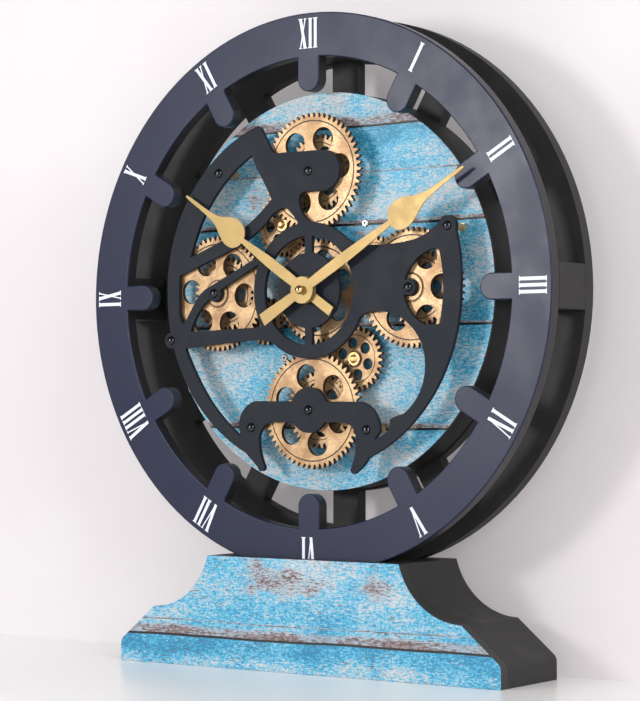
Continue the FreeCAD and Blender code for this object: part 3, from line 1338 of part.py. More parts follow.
nut_radius, nut_rise = value("hand_nut_radius"), value("hand_nut_rise")
stud_bore = minute_arbor_radius / 2 + value("running_clearance")
stud_room = stud_length + value("running_clearance")
nut = turned([
    (stud_bore, 0),
    (math.sqrt(nut_radius ** 2 - nut_rise ** 2), 0),
    (nut_radius, nut_rise, "arc"),
    (0, nut_rise + nut_radius),
    (0, stud_room),
    (stud_bore, stud_room),
])
keep(shaped("hand_nut", nut, back="-minute_hand_lead"), "hand_nut")

# Checks, then one STEP file for each sub-part

doc.recompute()
for item in doc.Objects:
    if "Invalid" in item.State or "Error" in item.State:
        raise RuntimeError("%s did not build: %s" % (item.Name, item.State))
for item in parts:
    if item.Shape.isNull() or not item.Shape.isValid() or not item.Shape.Solids:
        raise RuntimeError("%s has no sound solid" % item.Label)
os.makedirs("parts", exist_ok=True)
for item in parts:
    item.Shape.exportStep("parts/%s.step" % item.Label)
print("%d sub-parts" % len(parts))
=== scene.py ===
import cmath
import math

import bmesh
import bpy
from mathutils import Matrix, Vector


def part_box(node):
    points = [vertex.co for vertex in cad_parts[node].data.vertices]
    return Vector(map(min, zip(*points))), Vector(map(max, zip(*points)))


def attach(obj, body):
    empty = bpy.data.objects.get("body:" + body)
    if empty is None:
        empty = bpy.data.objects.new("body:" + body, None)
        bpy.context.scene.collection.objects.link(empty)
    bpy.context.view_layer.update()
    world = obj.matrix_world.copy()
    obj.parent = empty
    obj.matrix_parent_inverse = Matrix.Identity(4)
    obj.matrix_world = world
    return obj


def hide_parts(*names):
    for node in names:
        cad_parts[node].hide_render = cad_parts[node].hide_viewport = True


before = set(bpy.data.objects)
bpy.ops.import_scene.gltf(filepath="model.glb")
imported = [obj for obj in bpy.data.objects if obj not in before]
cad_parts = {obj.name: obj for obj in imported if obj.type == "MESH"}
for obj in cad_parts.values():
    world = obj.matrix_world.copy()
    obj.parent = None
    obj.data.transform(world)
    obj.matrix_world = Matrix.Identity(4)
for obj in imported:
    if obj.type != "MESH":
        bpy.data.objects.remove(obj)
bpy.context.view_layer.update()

# The stand's core and rear board
# Black fibreboard, glued up, sawn to the stand's outline and hollowed to a trough for the two
# rings. Its faces are sanded and sprayed with a satin black that shows a fine fuzz.


def linear(code):
    """A colour for a socket, from its sRGB hex code."""
    channels = [int(code[at:at + 2], 16) / 255 for at in (1, 3, 5)]
    return (*[c / 12.92 if c < 0.04045 else ((c + 0.055) / 1.055) ** 2.4 for c in channels], 1.0)


def add(tree, kind, inputs=None, **settings):
    """A node with its settings, each input linked to a socket or given a value."""
    node = tree.nodes.new(kind)
    for name, value in settings.items():
        setattr(node, name, value)
    for name, value in (inputs or {}).items():
        if isinstance(value, bpy.types.NodeSocket):
            tree.links.new(value, node.inputs[name])
        else:
            node.inputs[name].default_value = value
    return node


def start_finish(name):
    """An empty material, its tree and its object coordinates."""
    material = bpy.data.materials.new(name)
    material.use_nodes = True
    tree = material.node_tree
    tree.nodes.clear()
    return material, tree, add(tree, "ShaderNodeTexCoord").outputs["Object"]


def end_finish(tree, bump=None, depth=0.0, **inputs):
    """Closes a material with its shader, pressing a pattern into it to a depth in metres."""
    sockets = {name.replace("_", " "): value for name, value in inputs.items()}
    if bump is not None:
        pressed = add(tree, "ShaderNodeBump", {"Height": bump, "Distance": depth})
        sockets["Normal"] = pressed.outputs[0]
    shader = add(tree, "ShaderNodeBsdfPrincipled", sockets)
    add(tree, "ShaderNodeOutputMaterial", {"Surface": shader.outputs[0]})


def grain(tree, place, size, stretch=(1, 1, 1), detail=3.0, **settings):
    """Noise whose spots are about size metres across, drawn out along an axis by a stretch."""
    scaled = add(tree, "ShaderNodeVectorMath", {0: place, 1: [1 / (size * s) for s in stretch]},
                 operation="MULTIPLY").outputs[0]
    inputs = {"Vector": scaled, "Scale": 1.0, "Detail": detail, "Roughness": 0.6}
    return add(tree, "ShaderNodeTexNoise", inputs, **settings).outputs[0]


def fade(tree, value, low, high, start=0.0, end=1.0):
    """A value's range from low to high, spread smoothly from start to end."""
    inputs = {"Value": value, "From Min": low, "From Max": high, "To Min": start, "To Max": end}
    return add(tree, "ShaderNodeMapRange", inputs, interpolation_type="SMOOTHSTEP").outputs[0]


def blend_colours(tree, share, first, second):
    """Two colours mixed by a share."""
    return add(tree, "ShaderNodeMix", {"Factor": share, "A": first, "B": second},
               data_type="RGBA").outputs["Result"]


def reckon(tree, operation, *values):
    """One sum of a value or two."""
    return add(tree, "ShaderNodeMath", dict(enumerate(values)), operation=operation).outputs[0]


def sprayed_finish(name, low, high, speck, rough, fuzz, metallic=0.0, gloss=0.5):
    """A sprayed, moulded or stained finish: two close shades in specks, with a fine fuzz."""
    material, tree, place = start_finish(name)
    specks = grain(tree, place, speck)
    clouds = grain(tree, place, speck * 30, detail=2.0)
    share = reckon(tree, "ADD", fade(tree, specks, 0.3, 0.7, 0, 0.6),
                   fade(tree, clouds, 0.3, 0.7, 0, 0.4))
    colour = blend_colours(tree, share, linear(low), linear(high))
    end_finish(tree, specks, fuzz, Base_Color=colour, Metallic=metallic, Specular_IOR_Level=gloss,
               Roughness=fade(tree, clouds, 0.3, 0.7, rough * 0.9, rough * 1.1))
    return material


SHARP_ANGLE = math.radians(35)
FLAT_ANGLE = math.radians(0.4)
SAME_PLACE = 2e-6


def dress(piece, width, node, body="clock", steps=2):
    """Shades a piece smooth between its sharp edges, eases those, and lets it stand for a node."""
    mesh = piece.data
    mesh.polygons.foreach_set("use_smooth", [True] * len(mesh.polygons))
    mesh.set_sharp_from_angle(angle=SHARP_ANGLE)
    if width:
        edge = piece.modifiers.new("eased_edges", "BEVEL")
        edge.width = width
        edge.segments = steps
        edge.limit_method = "ANGLE"
        edge.angle_limit = SHARP_ANGLE
        edge.harden_normals = True
    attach(piece, body)
    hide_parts(node)


def placed_in_scene(name, data):
    """A new object in the scene, from its mesh, lamp or camera."""
    item = bpy.data.objects.new(name, data)
    bpy.context.scene.collection.objects.link(item)
    return item


def new_piece(name, corners=(), faces=()):
    """A piece at the origin."""
    mesh = bpy.data.meshes.new(name)
    mesh.from_pydata(corners, [], faces)
    return placed_in_scene(name, mesh)


def joined(node):
    """A CAD node's mesh, with its doubled corners made one."""
    work = bmesh.new()
    work.from_mesh(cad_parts[node].data)
    bmesh.ops.remove_doubles(work, verts=work.verts, dist=SAME_PLACE)
    return work


def eased(node, width, material, body="clock", steps=2):
    """A copy of a CAD node with its facets joined and its edges eased, standing for the node."""
    work = joined(node)
    bmesh.ops.dissolve_limit(work, angle_limit=FLAT_ANGLE, verts=work.verts, edges=work.edges)
    corners = [vert.co.copy() for vert in work.verts]
    faces = [[vert.index for vert in face.verts] for face in work.faces]
    piece = new_piece(node + "_finished", corners, faces)
    work.free()
    piece.data.materials.append(material)
    dress(piece, width, node, body, steps)


black_board = sprayed_finish("sprayed_fibreboard", "#201f20", "#2c2b2c", 0.0006, 0.6, 0.00004,
                             gloss=0.35)
eased("stand_core", 0.0005, black_board)
eased("stand_rear_board", 0.0005, black_board)

# The stand's front board
# Fibreboard printed to look like old painted planks: turquoise rubbed back to grey in small dabs,
# with brown wood along the open joints. The print is matt and flat, and stops at the black edges.


def ramp(tree, value, stops):
    """A colour that runs through the stops, each a position and a hex code."""
    node = add(tree, "ShaderNodeValToRGB", {"Fac": value})
    elements = node.color_ramp.elements
    while len(elements) < len(stops):
        elements.new(1.0)
    for element, (position, code) in zip(elements, stops):
        element.position = position
        element.color = linear(code)
    return node.outputs["Color"]


def plank_finish(name, joints, bare_spots, seed, front, worn):
    """Printed planks, with worn paint and with bare wood above the joints and in spots.

    A joint gives its height, how far the brown reaches above it, its half width and how much
    paint is kept beside it. A spot gives its x, z, half width and half height. All in metres.
    """
    material, tree, place = start_finish(name)
    shifted = add(tree, "ShaderNodeVectorMath", {0: place, 1: (seed, 0, seed * 0.7)},
                  operation="ADD").outputs[0]
    across = add(tree, "ShaderNodeSeparateXYZ", {0: place})
    wobble = grain(tree, shifted, 0.05, (3, 1, 1), 2.0)
    height = reckon(tree, "ADD", across.outputs["Z"], fade(tree, wobble, 0.2, 0.8, -0.001, 0.001))

    # how worn the paint is: in dabs and short strokes, more in some patches, least beside a joint
    dabs = grain(tree, shifted, 0.0011, (1.4, 1, 1), 2.0)
    dashes = grain(tree, shifted, 0.0008, (6, 1, 1), 2.0)
    patches = grain(tree, shifted, 0.03, (1.8, 1, 1), 5.0)
    wear = reckon(tree, "ADD", reckon(tree, "MULTIPLY", dabs, 1.6),
                  reckon(tree, "MULTIPLY", dashes, 1.2))
    wear = reckon(tree, "ADD", wear, reckon(tree, "MULTIPLY", patches, 1.5))
    wear = reckon(tree, "ADD", wear, worn - 1.65)
    line, bare = None, None
    for joint, brown, width, painted in joints:
        above = reckon(tree, "SUBTRACT", height, joint)
        from_joint = reckon(tree, "ABSOLUTE", above)
        dark = fade(tree, from_joint, width * 0.5, width, min(1, width * 1200), 0)
        line = dark if line is None else reckon(tree, "MAXIMUM", line, dark)
        edge = reckon(tree, "MULTIPLY", fade(tree, above, -width, 0, 0, 1),
                      fade(tree, above, brown * 0.4, brown, 1, 0))
        bare = edge if bare is None else reckon(tree, "MAXIMUM", bare, edge)
        from_band = reckon(tree, "ABSOLUTE", reckon(tree, "ADD", above, 0.004))
        wear = reckon(tree, "SUBTRACT", wear, fade(tree, from_band, 0.003, 0.013, painted, 0))
    paint = ramp(tree, wear, ((0.0, "#20769b"), (0.22, "#3597b9"), (0.42, "#53a9c9"),
                              (0.54, "#83aebf"), (0.68, "#aab3b8"), (1.0, "#c0c2c3")))

    # bare brown wood in fine strokes, where the paint has gone
    strokes = grain(tree, shifted, 0.0009, (4.5, 1, 1), 4.0)
    knots = grain(tree, shifted, 0.02, (2.2, 1, 1), 5.0)
    for x, z, wide, high in bare_spots:
        aside = add(tree, "ShaderNodeVectorMath", {0: place, 1: (x, 0, z)}, operation="SUBTRACT")
        squashed = add(tree, "ShaderNodeVectorMath", {0: aside.outputs[0], 1: (1 / wide, 0, 1 / high)},
                       operation="MULTIPLY")
        reach = add(tree, "ShaderNodeVectorMath", {0: squashed.outputs[0]}, operation="LENGTH")
        knots = reckon(tree, "ADD", knots, fade(tree, reach.outputs["Value"], 0.2, 1.6, 0.15, 0))
    bare = reckon(tree, "MULTIPLY", bare, fade(tree, patches, 0.4, 0.55, 0.45, 1))
    stripped = reckon(tree, "MAXIMUM", bare, fade(tree, knots, 0.58, 0.92))
    rubbed = fade(tree, reckon(tree, "ADD", strokes, reckon(tree, "MULTIPLY", stripped, 0.28)), 0.6, 0.74)
    rubbed = reckon(tree, "MULTIPLY", rubbed, fade(tree, stripped, 0.02, 0.3))
    faded = blend_colours(tree, fade(tree, stripped, 0.1, 0.5, 0, 0.75), paint, linear("#a3a7ad"))
    brown = blend_colours(tree, fade(tree, dabs, 0.35, 0.65), linear("#4f3d3d"), linear("#8a7773"))
    wood = blend_colours(tree, rubbed, faded, brown)
    scratches = grain(tree, shifted, 0.0007, (7, 1, 1), 3.0)
    sparse = fade(tree, grain(tree, shifted, 0.014, (2, 1, 1), 2.0), 0.4, 0.58, 0.12, 0.85)
    scratched = reckon(tree, "MULTIPLY", fade(tree, scratches, 0.57, 0.65), sparse)
    lined = blend_colours(tree, scratched, wood, linear("#574a50"))
    printed = blend_colours(tree, line, lined, linear("#0e0c0f"))
    at_front = fade(tree, across.outputs["Y"], front + 0.0002, front + 0.0006, 0, 1)
    colour = blend_colours(tree, at_front, printed, linear("#201f20"))
    end_finish(tree, dabs, 0.00002, Base_Color=colour,
               Roughness=fade(tree, dabs, 0.2, 0.8, 0.42, 0.56))
    return material


stand_joints = [(0.0196, 0.0085, 0.001, 0.3), (0.0293, 0.001, 0.0002, 0.0)]
stand_spots = [(-0.013, 0.055, 0.03, 0.012), (0.0, 0.067, 0.05, 0.01), (0.062, 0.055, 0.012, 0.024),
               (0.022, 0.004, 0.014, 0.003), (-0.055, 0.025, 0.05, 0.0045)]
stand_planks = plank_finish("printed_stand_planks", stand_joints, stand_spots, 1.3,
                            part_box("stand_front_board")[0].y, -0.02)
eased("stand_front_board", 0.0004, stand_planks)

# The stand's screws and the bridge's screws
# Countersunk steel screws hold the rear board, and domed ones the bridge. All are blacked; the
# domes shine a little.


def coat(node, material):
    """Gives a CAD node that is shown as it is its finish."""
    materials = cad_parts[node].data.materials
    materials.clear()
    materials.append(material)


blacked_steel = sprayed_finish("blacked_steel", "#3c3c40", "#48484d", 0.0003, 0.22, 0.000001, 1.0)
coat("stand_screws", blacked_steel)

SOCKETS = {int: "NodeSocketInt", float: "NodeSocketFloat", tuple: "NodeSocketVector",
           bpy.types.Material: "NodeSocketMaterial"}


def start_rule(name, sizes):
    """An empty geometry tree with a named input for each size."""
    tree = bpy.data.node_groups.new(name, "GeometryNodeTree")
    tree.interface.new_socket("Geometry", in_out="INPUT", socket_type="NodeSocketGeometry")
    for label, value in sizes.items():
        tree.interface.new_socket(label, in_out="INPUT", socket_type=SOCKETS[type(value)])
    tree.interface.new_socket("Geometry", in_out="OUTPUT", socket_type="NodeSocketGeometry")
    return tree, add(tree, "NodeGroupInput").outputs


def end_rule(tree, geometry, material):
    """Ends a geometry tree as one mesh with its material."""
    real = add(tree, "GeometryNodeRealizeInstances", {"Geometry": geometry}).outputs[0]
    coated = add(tree, "GeometryNodeSetMaterial", {"Geometry": real, "Material": material}).outputs[0]
    add(tree, "NodeGroupOutput", {"Geometry": coated})


def grown(name, tree, sizes, seats=((0, 0, 0),), turns=()):
    """A piece that a geometry tree makes at its seats, turned into a plain mesh."""
    piece = new_piece(name, seats)
    if turns:
        piece.data.attributes.new("turn", "FLOAT", "POINT").data.foreach_set("value", turns)
    rule = piece.modifiers.new("rule", "NODES")
    rule.node_group = tree
    for item in tree.interface.items_tree:
        if item.in_out == "INPUT" and item.name in sizes:
            rule[item.identifier] = sizes[item.name]
    made = piece.evaluated_get(bpy.context.evaluated_depsgraph_get())
    mesh = bpy.data.meshes.new_from_object(made)
    piece.modifiers.remove(rule)
    piece.data = mesh
    return piece


def moved(tree, geometry, **settings):
    """Geometry moved, turned or scaled."""
    return add(tree, "GeometryNodeTransform", {"Geometry": geometry, **settings}).outputs[0]


def together(tree, *parts):
    """Several geometries as one."""
    whole = add(tree, "GeometryNodeJoinGeometry")
    for part in parts:
        tree.links.new(part, whole.inputs[0])
    return whole.outputs[0]


def along(tree, axis, value):
    """A vector that reaches along one axis."""
    return add(tree, "ShaderNodeCombineXYZ", {axis: value}).outputs[0]


QUARTER_TURN = (math.radians(90), 0, 0)


def domed_screw_rule(sizes):
    """Domed screws: a squashed ball on a shank, one at each seat, facing -Y."""
    tree, given = start_rule("domed_screws", sizes)
    ball = add(tree, "GeometryNodeMeshUVSphere",
               {"Segments": 28, "Rings": 16, "Radius": given["Head Radius"]})
    squash = reckon(tree, "DIVIDE", given["Head Height"], given["Head Radius"])
    scale = add(tree, "ShaderNodeCombineXYZ", {"X": 1.0, "Y": 1.0, "Z": squash}).outputs[0]
    head = moved(tree, ball.outputs["Mesh"], Scale=scale)
    shank = add(tree, "GeometryNodeMeshCylinder",
                {"Vertices": 20, "Radius": given["Shank Radius"], "Depth": given["Shank Length"]})
    drop = along(tree, "Z", reckon(tree, "MULTIPLY", given["Shank Length"], -0.5))
    sunk = moved(tree, shank.outputs["Mesh"], Translation=drop)
    upright = moved(tree, together(tree, head, sunk), Rotation=QUARTER_TURN)
    placed = add(tree, "GeometryNodeInstanceOnPoints",
                 {"Points": given["Geometry"], "Instance": upright})
    end_rule(tree, placed.outputs[0], given["Material"])
    return tree


def loose_parts(node):
    """The corners of each separate solid of a CAD node."""
    work = joined(node)
    left = set(work.verts)
    found = []
    while left:
        group, edge = set(), [left.pop()]
        while edge:
            vert = edge.pop()
            group.add(vert)
            for link in vert.link_edges:
                other = link.other_vert(vert)
                if other in left:
                    left.remove(other)
                    edge.append(other)
        found.append([vert.co.copy() for vert in group])
    work.free()
    return found


def middle(corners, at):
    """Half way between the ends of the corners along an axis."""
    return (min(corner[at] for corner in corners) + max(corner[at] for corner in corners)) / 2


bridge_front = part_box("bridge_plate")[0].y
screw_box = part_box("bridge_screws")
screw_sizes = {"Head Radius": 0.003, "Head Height": bridge_front - screw_box[0].y,
               "Shank Radius": 0.00125, "Shank Length": screw_box[1].y - bridge_front,
               "Material": blacked_steel}
screw_seats = sorted((middle(part, 0), bridge_front, middle(part, 2))
                     for part in loose_parts("bridge_screws"))
bridge_screws = grown("bridge_screws_finished", domed_screw_rule(screw_sizes), screw_sizes,
                      screw_seats)
dress(bridge_screws, 0, "bridge_screws")

# The rear wheel, the blocks and the drum's wall
# One black fibreboard wheel with twelve spokes carries the drum; four blocks glued to its rim hold
# the dial ring in front of it. All are sprayed as the stand's core is.

for node in ("rear_wheel", "spacer_blocks", "drum_wall"):
    eased(node, 0.0005, black_board)

# The dial ring
# Fibreboard sprayed a slate blue satin on its front, with its edges left black.


def ring_finish():
    """Slate blue in front, black on the sawn edges."""
    material, tree, place = start_finish("slate_blue_satin")
    specks = grain(tree, place, 0.0007)
    clouds = grain(tree, place, 0.03, detail=2.0)
    slate = blend_colours(tree, fade(tree, specks, 0.3, 0.7), linear("#0d132d"), linear("#161e3d"))
    black = blend_colours(tree, specks, linear("#1a191c"), linear("#262528"))
    depth = add(tree, "ShaderNodeSeparateXYZ", {0: place}).outputs["Y"]
    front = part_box("dial_ring")[0].y
    at_edge = fade(tree, depth, front + 0.0006, front + 0.001)
    colour = blend_colours(tree, at_edge, slate, black)
    end_finish(tree, specks, 0.000008, Base_Color=colour, Specular_IOR_Level=0.38,
               Roughness=fade(tree, clouds, 0.3, 0.7, 0.36, 0.42))
    return material


eased("dial_ring", 0.0009, ring_finish(), steps=3)

# The numerals
# Twelve Roman numerals, screen printed in a cool white.

numeral_ink = sprayed_finish("screen_print", "#cdd1dc", "#dfe2ea", 0.0004, 0.5, 0.00001)
coat("dial_numerals", numeral_ink)

# The face disc
# A thin board printed with the same old planks, five across, closing the front of the drum.

face_joints = [(0.347, 0.009, 0.001, 0.22), (0.284, 0.004, 0.001, 0.22),
               (0.2195, 0.003, 0.001, 0.22), (0.1545, 0.005, 0.001, 0.22),
               (0.3175, 0.0012, 0.0003, 0.0)]
face_spots = [(0.05, 0.357, 0.06, 0.012), (-0.03, 0.31, 0.05, 0.01)]
face_planks = plank_finish("printed_face_planks", face_joints, face_spots, 4.1,
                           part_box("face_disc")[0].y, 0.05)
eased("face_disc", 0.0003, face_planks)

# The wooden gears
# Laser sawn plywood, sprayed an antique copper gold and speckled, with burnt edges left dark. A
# gear's teeth follow the involute rule of its module and tooth count, so that each pair meshes;
# inside them lie six round windows and a scored circle.


def gear_finish(name, front, hub):
    """Antique gold on the front face, burnt dark on every sawn edge, with a painted shadow ring just
    outside a hub of that radius.
    """
    material, tree, place = start_finish(name)
    place_y = add(tree, "ShaderNodeSeparateXYZ", {0: place}).outputs["Y"]
    depth = reckon(tree, "SUBTRACT", place_y, front)
    axle = add(tree, "ShaderNodeAttribute", attribute_name="axle").outputs["Vector"]
    away = add(tree, "ShaderNodeVectorMath", {0: place, 1: axle}, operation="SUBTRACT").outputs[0]
    flat = add(tree, "ShaderNodeVectorMath", {0: away, 1: (1, 0, 1)}, operation="MULTIPLY").outputs[0]
    reach = add(tree, "ShaderNodeVectorMath", {0: flat}, operation="LENGTH").outputs["Value"]
    from_hub = reckon(tree, "SUBTRACT", reach, hub)
    clouds = grain(tree, place, 0.012, detail=4.0)
    specks = grain(tree, place, 0.0008, detail=2.0)
    # how thickly the dark specks lie: in random patches, and more of them towards the hub
    speck_cover = reckon(tree, "ADD", grain(tree, place, 0.006, detail=3.0),
                  fade(tree, from_hub, 0, 0.009, 0.15, 0))
    gold = blend_colours(tree, fade(tree, clouds, 0.3, 0.7), linear("#93704c"), linear("#ccaa80"))
    dirt = reckon(tree, "MULTIPLY", fade(tree, specks, 0.56, 0.66),
                  fade(tree, speck_cover, 0.4, 0.65, 0.1, 0.85))
    # a painted shadow ring just outside the hub's radius, where the washer or post collar shades the gear
    from_hub_shadow = reckon(tree, "ABSOLUTE", reckon(tree, "SUBTRACT", from_hub, 0.0005))
    painted_hub_shadow = fade(tree, from_hub_shadow, 0.0004, 0.0011, 0.9, 0)
    # the specks and the painted shadow ring share one dark brown
    specked_and_shaded = blend_colours(tree, reckon(tree, "MAXIMUM", dirt, painted_hub_shadow), gold, linear("#412c1f"))
    burnt = blend_colours(tree, specks, linear("#1b110c"), linear("#4a3322"))
    at_edge = fade(tree, depth, 0.00006, 0.0002)
    colour = blend_colours(tree, at_edge, specked_and_shaded, burnt)
    end_finish(tree, specks, 0.00003, Base_Color=colour, Metallic=fade(tree, at_edge, 0, 1, 0.45, 0.05),
               Roughness=fade(tree, specks, 0.3, 0.7, 0.36, 0.48))
    return material


def plated(tree, curves, thickness):
    """A closed flat plate from curves, the inner ones holes, rising from z = 0."""
    sheet = add(tree, "GeometryNodeFillCurve", {"Curve": together(tree, *curves)}).outputs[0]
    raised = add(tree, "GeometryNodeExtrudeMesh",
                 {"Mesh": sheet, "Offset Scale": thickness, "Individual": False}, mode="FACES")
    under = add(tree, "GeometryNodeFlipFaces", {"Mesh": sheet}).outputs[0]
    closed = together(tree, raised.outputs["Mesh"], under)
    return add(tree, "GeometryNodeMergeByDistance", {"Geometry": closed, "Distance": 1e-6}).outputs[0]


def loop(tree, radius, steps):
    """A circle through that many points."""
    return add(tree, "GeometryNodeCurvePrimitiveCircle",
               {"Resolution": steps, "Radius": radius}).outputs[0]


PRESSURE_ANGLE = math.radians(20)


def gear_rule(sizes):
    """A sawn gear about the origin: involute teeth, a bore, windows and a scored circle."""
    tree, given = start_rule("sawn_gear", sizes)
    teeth, module = given["Teeth"], given["Module"]
    pitch = reckon(tree, "MULTIPLY", reckon(tree, "MULTIPLY", teeth, module), 0.5)
    tip = reckon(tree, "ADD", pitch, module)
    root = reckon(tree, "SUBTRACT", pitch, reckon(tree, "MULTIPLY", module, 1.25))
    base = reckon(tree, "MULTIPLY", pitch, math.cos(PRESSURE_ANGLE))

    # six points to a tooth: its root, flank and tip on one side, then the same on the other
    index = add(tree, "GeometryNodeInputIndex").outputs[0]
    number = reckon(tree, "FLOOR", reckon(tree, "DIVIDE", index, 6.0))
    step = reckon(tree, "SUBTRACT", index, reckon(tree, "MULTIPLY", number, 6.0))
    aside = reckon(tree, "SUBTRACT", step, 2.5)
    level = reckon(tree, "MULTIPLY", reckon(tree, "SUBTRACT", 2.5, reckon(tree, "ABSOLUTE", aside)), 0.5)
    rise = reckon(tree, "MULTIPLY", level, reckon(tree, "SUBTRACT", tip, root))
    radius = reckon(tree, "ADD", root, rise)
    lean = reckon(tree, "ARCCOSINE",
                  reckon(tree, "MINIMUM", 1.0, reckon(tree, "DIVIDE", base, radius)))
    involute = reckon(tree, "SUBTRACT", reckon(tree, "TANGENT", lean), lean)
    play = reckon(tree, "DIVIDE", given["Backlash"], reckon(tree, "MULTIPLY", pitch, 4.0))
    half_tooth = reckon(tree, "SUBTRACT", reckon(tree, "DIVIDE", math.pi / 2, teeth), play)
    at_pitch = math.tan(PRESSURE_ANGLE) - PRESSURE_ANGLE
    offset = reckon(tree, "SUBTRACT", reckon(tree, "ADD", half_tooth, at_pitch), involute)
    swept = reckon(tree, "DIVIDE", reckon(tree, "MULTIPLY", number, math.tau), teeth)
    aim = reckon(tree, "ADD", given["Turn"], swept)
    angle = reckon(tree, "ADD", aim, reckon(tree, "MULTIPLY", reckon(tree, "SIGN", aside), offset))
    spot = add(tree, "ShaderNodeCombineXYZ",
               {"X": reckon(tree, "MULTIPLY", radius, reckon(tree, "COSINE", angle)),
                "Y": reckon(tree, "MULTIPLY", radius, reckon(tree, "SINE", angle))})
    circle = loop(tree, 1.0, reckon(tree, "MULTIPLY", teeth, 6.0))
    outline = add(tree, "GeometryNodeSetPosition",
                  {"Geometry": circle, "Position": spot.outputs[0]}).outputs[0]

    window = loop(tree, given["Window Radius"], 36)
    ring = loop(tree, given["Window Circle"], given["Windows"])
    placed = add(tree, "GeometryNodeInstanceOnPoints", {"Points": ring, "Instance": window}).outputs[0]
    windows = add(tree, "GeometryNodeRealizeInstances", {"Geometry": placed}).outputs[0]
    swung = moved(tree, windows, Rotation=along(tree, "Z", given["Window Turn"]))
    board = plated(tree, (outline, loop(tree, given["Bore"], 32), swung), given["Thickness"])

    half = reckon(tree, "MULTIPLY", given["Score Width"], 0.5)
    deep = given["Score Depth"]
    band = plated(tree, (loop(tree, reckon(tree, "ADD", given["Score Radius"], half), 96),
                         loop(tree, reckon(tree, "SUBTRACT", given["Score Radius"], half), 96)),
                  reckon(tree, "MULTIPLY", deep, 2.0))
    lift = along(tree, "Z", reckon(tree, "SUBTRACT", given["Thickness"], deep))
    lifted = moved(tree, band, Translation=lift)
    scored = add(tree, "GeometryNodeMeshBoolean", {"Mesh 1": board, "Mesh 2": lifted},
                 operation="DIFFERENCE").outputs["Mesh"]
    stood = moved(tree, scored, Rotation=QUARTER_TURN, Translation=given["Place"])
    marked = add(tree, "GeometryNodeStoreNamedAttribute",
                 {"Geometry": stood, "Name": "axle", "Value": given["Place"]},
                 data_type="FLOAT_VECTOR").outputs[0]
    end_rule(tree, marked, given["Material"])
    return tree


def tooth_turn(node, teeth):
    """The middle of a CAD gear's teeth, and the angle of one tooth."""
    corners = [vert.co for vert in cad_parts[node].data.vertices]
    x, z = middle(corners, 0), middle(corners, 2)
    reach = max(math.hypot(corner.x - x, corner.z - z) for corner in corners)
    tips = [corner for corner in corners if math.hypot(corner.x - x, corner.z - z) > reach * 0.998]
    x, z = (sum(corner[at] for corner in tips) / len(tips) for at in (0, 2))
    whole = sum(cmath.exp(1j * teeth * math.atan2(corner.z - z, corner.x - x)) for corner in tips)
    return x, z, cmath.phase(whole) / teeth


GEAR_MODULE = 0.0013
GEAR_BACKLASH = 0.0003
SCORE_WIDTH_PER_TOOTH = 0.000014
SCORE_DEPTH = 0.0003
AXLE_BORE = 0.00205
BUSH_BORE = 0.00405
# the hub radius is where each finish paints its shadow ring: about the washers on the front gears, about
# the post collars on the others
front_gold = gear_finish("antique_gold_front_gears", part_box("top_front_gear")[0].y, 0.0081)
rear_gold = gear_finish("antique_gold_rear_gears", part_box("centre_gear")[0].y, 0.0044)


def gear_sizes(node, teeth, window_turn, shares, bore, material):
    """The tree's inputs for a CAD node; shares of its root radius place what is inside."""
    x, z, turn = tooth_turn(node, teeth)
    near, far = (corner.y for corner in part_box(node))
    root = GEAR_MODULE * (teeth / 2 - 1.25)
    circle, radius, score = (root * share for share in shares)
    return {"Teeth": teeth, "Module": GEAR_MODULE, "Backlash": GEAR_BACKLASH, "Turn": turn,
            "Thickness": far - near, "Bore": bore, "Windows": 6, "Window Circle": circle,
            "Window Radius": radius, "Window Turn": math.radians(window_turn), "Score Radius": score,
            "Score Width": teeth * SCORE_WIDTH_PER_TOOTH, "Score Depth": SCORE_DEPTH,
            "Place": (x, far, z), "Material": material}


# how many degrees the windows of each side's gears are turned, and the tooth counts
TURNS = {"top": 6.5, "left": 55.6, "foot": 41.4, "right": 0.0}
IDLER_TEETH = {"top": 30, "left": 22, "foot": 30, "right": 22}
CENTRE_TEETH = 50
REAR_TEETH = 36
FRONT_TEETH = 56
gears = [("centre_gear", "centre_wheel", CENTRE_TEETH, 20.0, (0.64, 0.22, 0.92), BUSH_BORE, rear_gold)]
for side, window_turn in TURNS.items():
    gears += [(side + "_idler_gear", side + "_idler", IDLER_TEETH[side], window_turn,
               (0.57, 0.2, 0.85), AXLE_BORE, rear_gold),
              (side + "_rear_gear", side + "_pair", REAR_TEETH, window_turn,
               (0.6, 0.2, 0.88), AXLE_BORE, rear_gold),
              (side + "_front_gear", side + "_pair", FRONT_TEETH, window_turn,
               (0.624, 0.227, 0.935), AXLE_BORE, front_gold)]
gear_inputs = {node: gear_sizes(node, *facts) for node, body, *facts in gears}
gear_tree = gear_rule(gear_inputs["centre_gear"])
for node, body, *facts in gears:
    gear = grown(node + "_finished", gear_tree, gear_inputs[node])
    dress(gear, 0.00025, node, body, 1)

# The gear hubs
# A plywood washer in front of each gear pair and a spacer between its gears, sprayed and burnt as
# the gears are.

washer_gold = gear_finish("antique_gold_washers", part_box("top_gear_hub")[0].y, 0.0)
for side in TURNS:
    eased(side + "_gear_hub", 0.0002, washer_gold, side + "_pair", 1)

# Brass axles, posts, standoffs and nuts
# Turned from bar and left bright.

turned_brass = sprayed_finish("turned_brass", "#c99a62", "#e6bd88", 0.0004, 0.3, 0.00001, 0.7)
for node, body in (("gear_axles", "clock"), ("idler_posts", "clock"), ("bridge_standoffs", "clock"),
                   ("bush_nuts", "clock"), ("minute_arbor", "minute_works")):
    eased(node, 0.0002, turned_brass, body)

# The eyelets
# Pressed steel, nickel plated.

nickel_plate = sprayed_finish("nickel_plate", "#8b8a88", "#a5a4a1", 0.0003, 0.3, 0.00001, 0.6)
coat("face_eyelets", nickel_plate)

# The bridge
# Thin board sawn to rings and claws, sprayed satin black, in front of the gears.

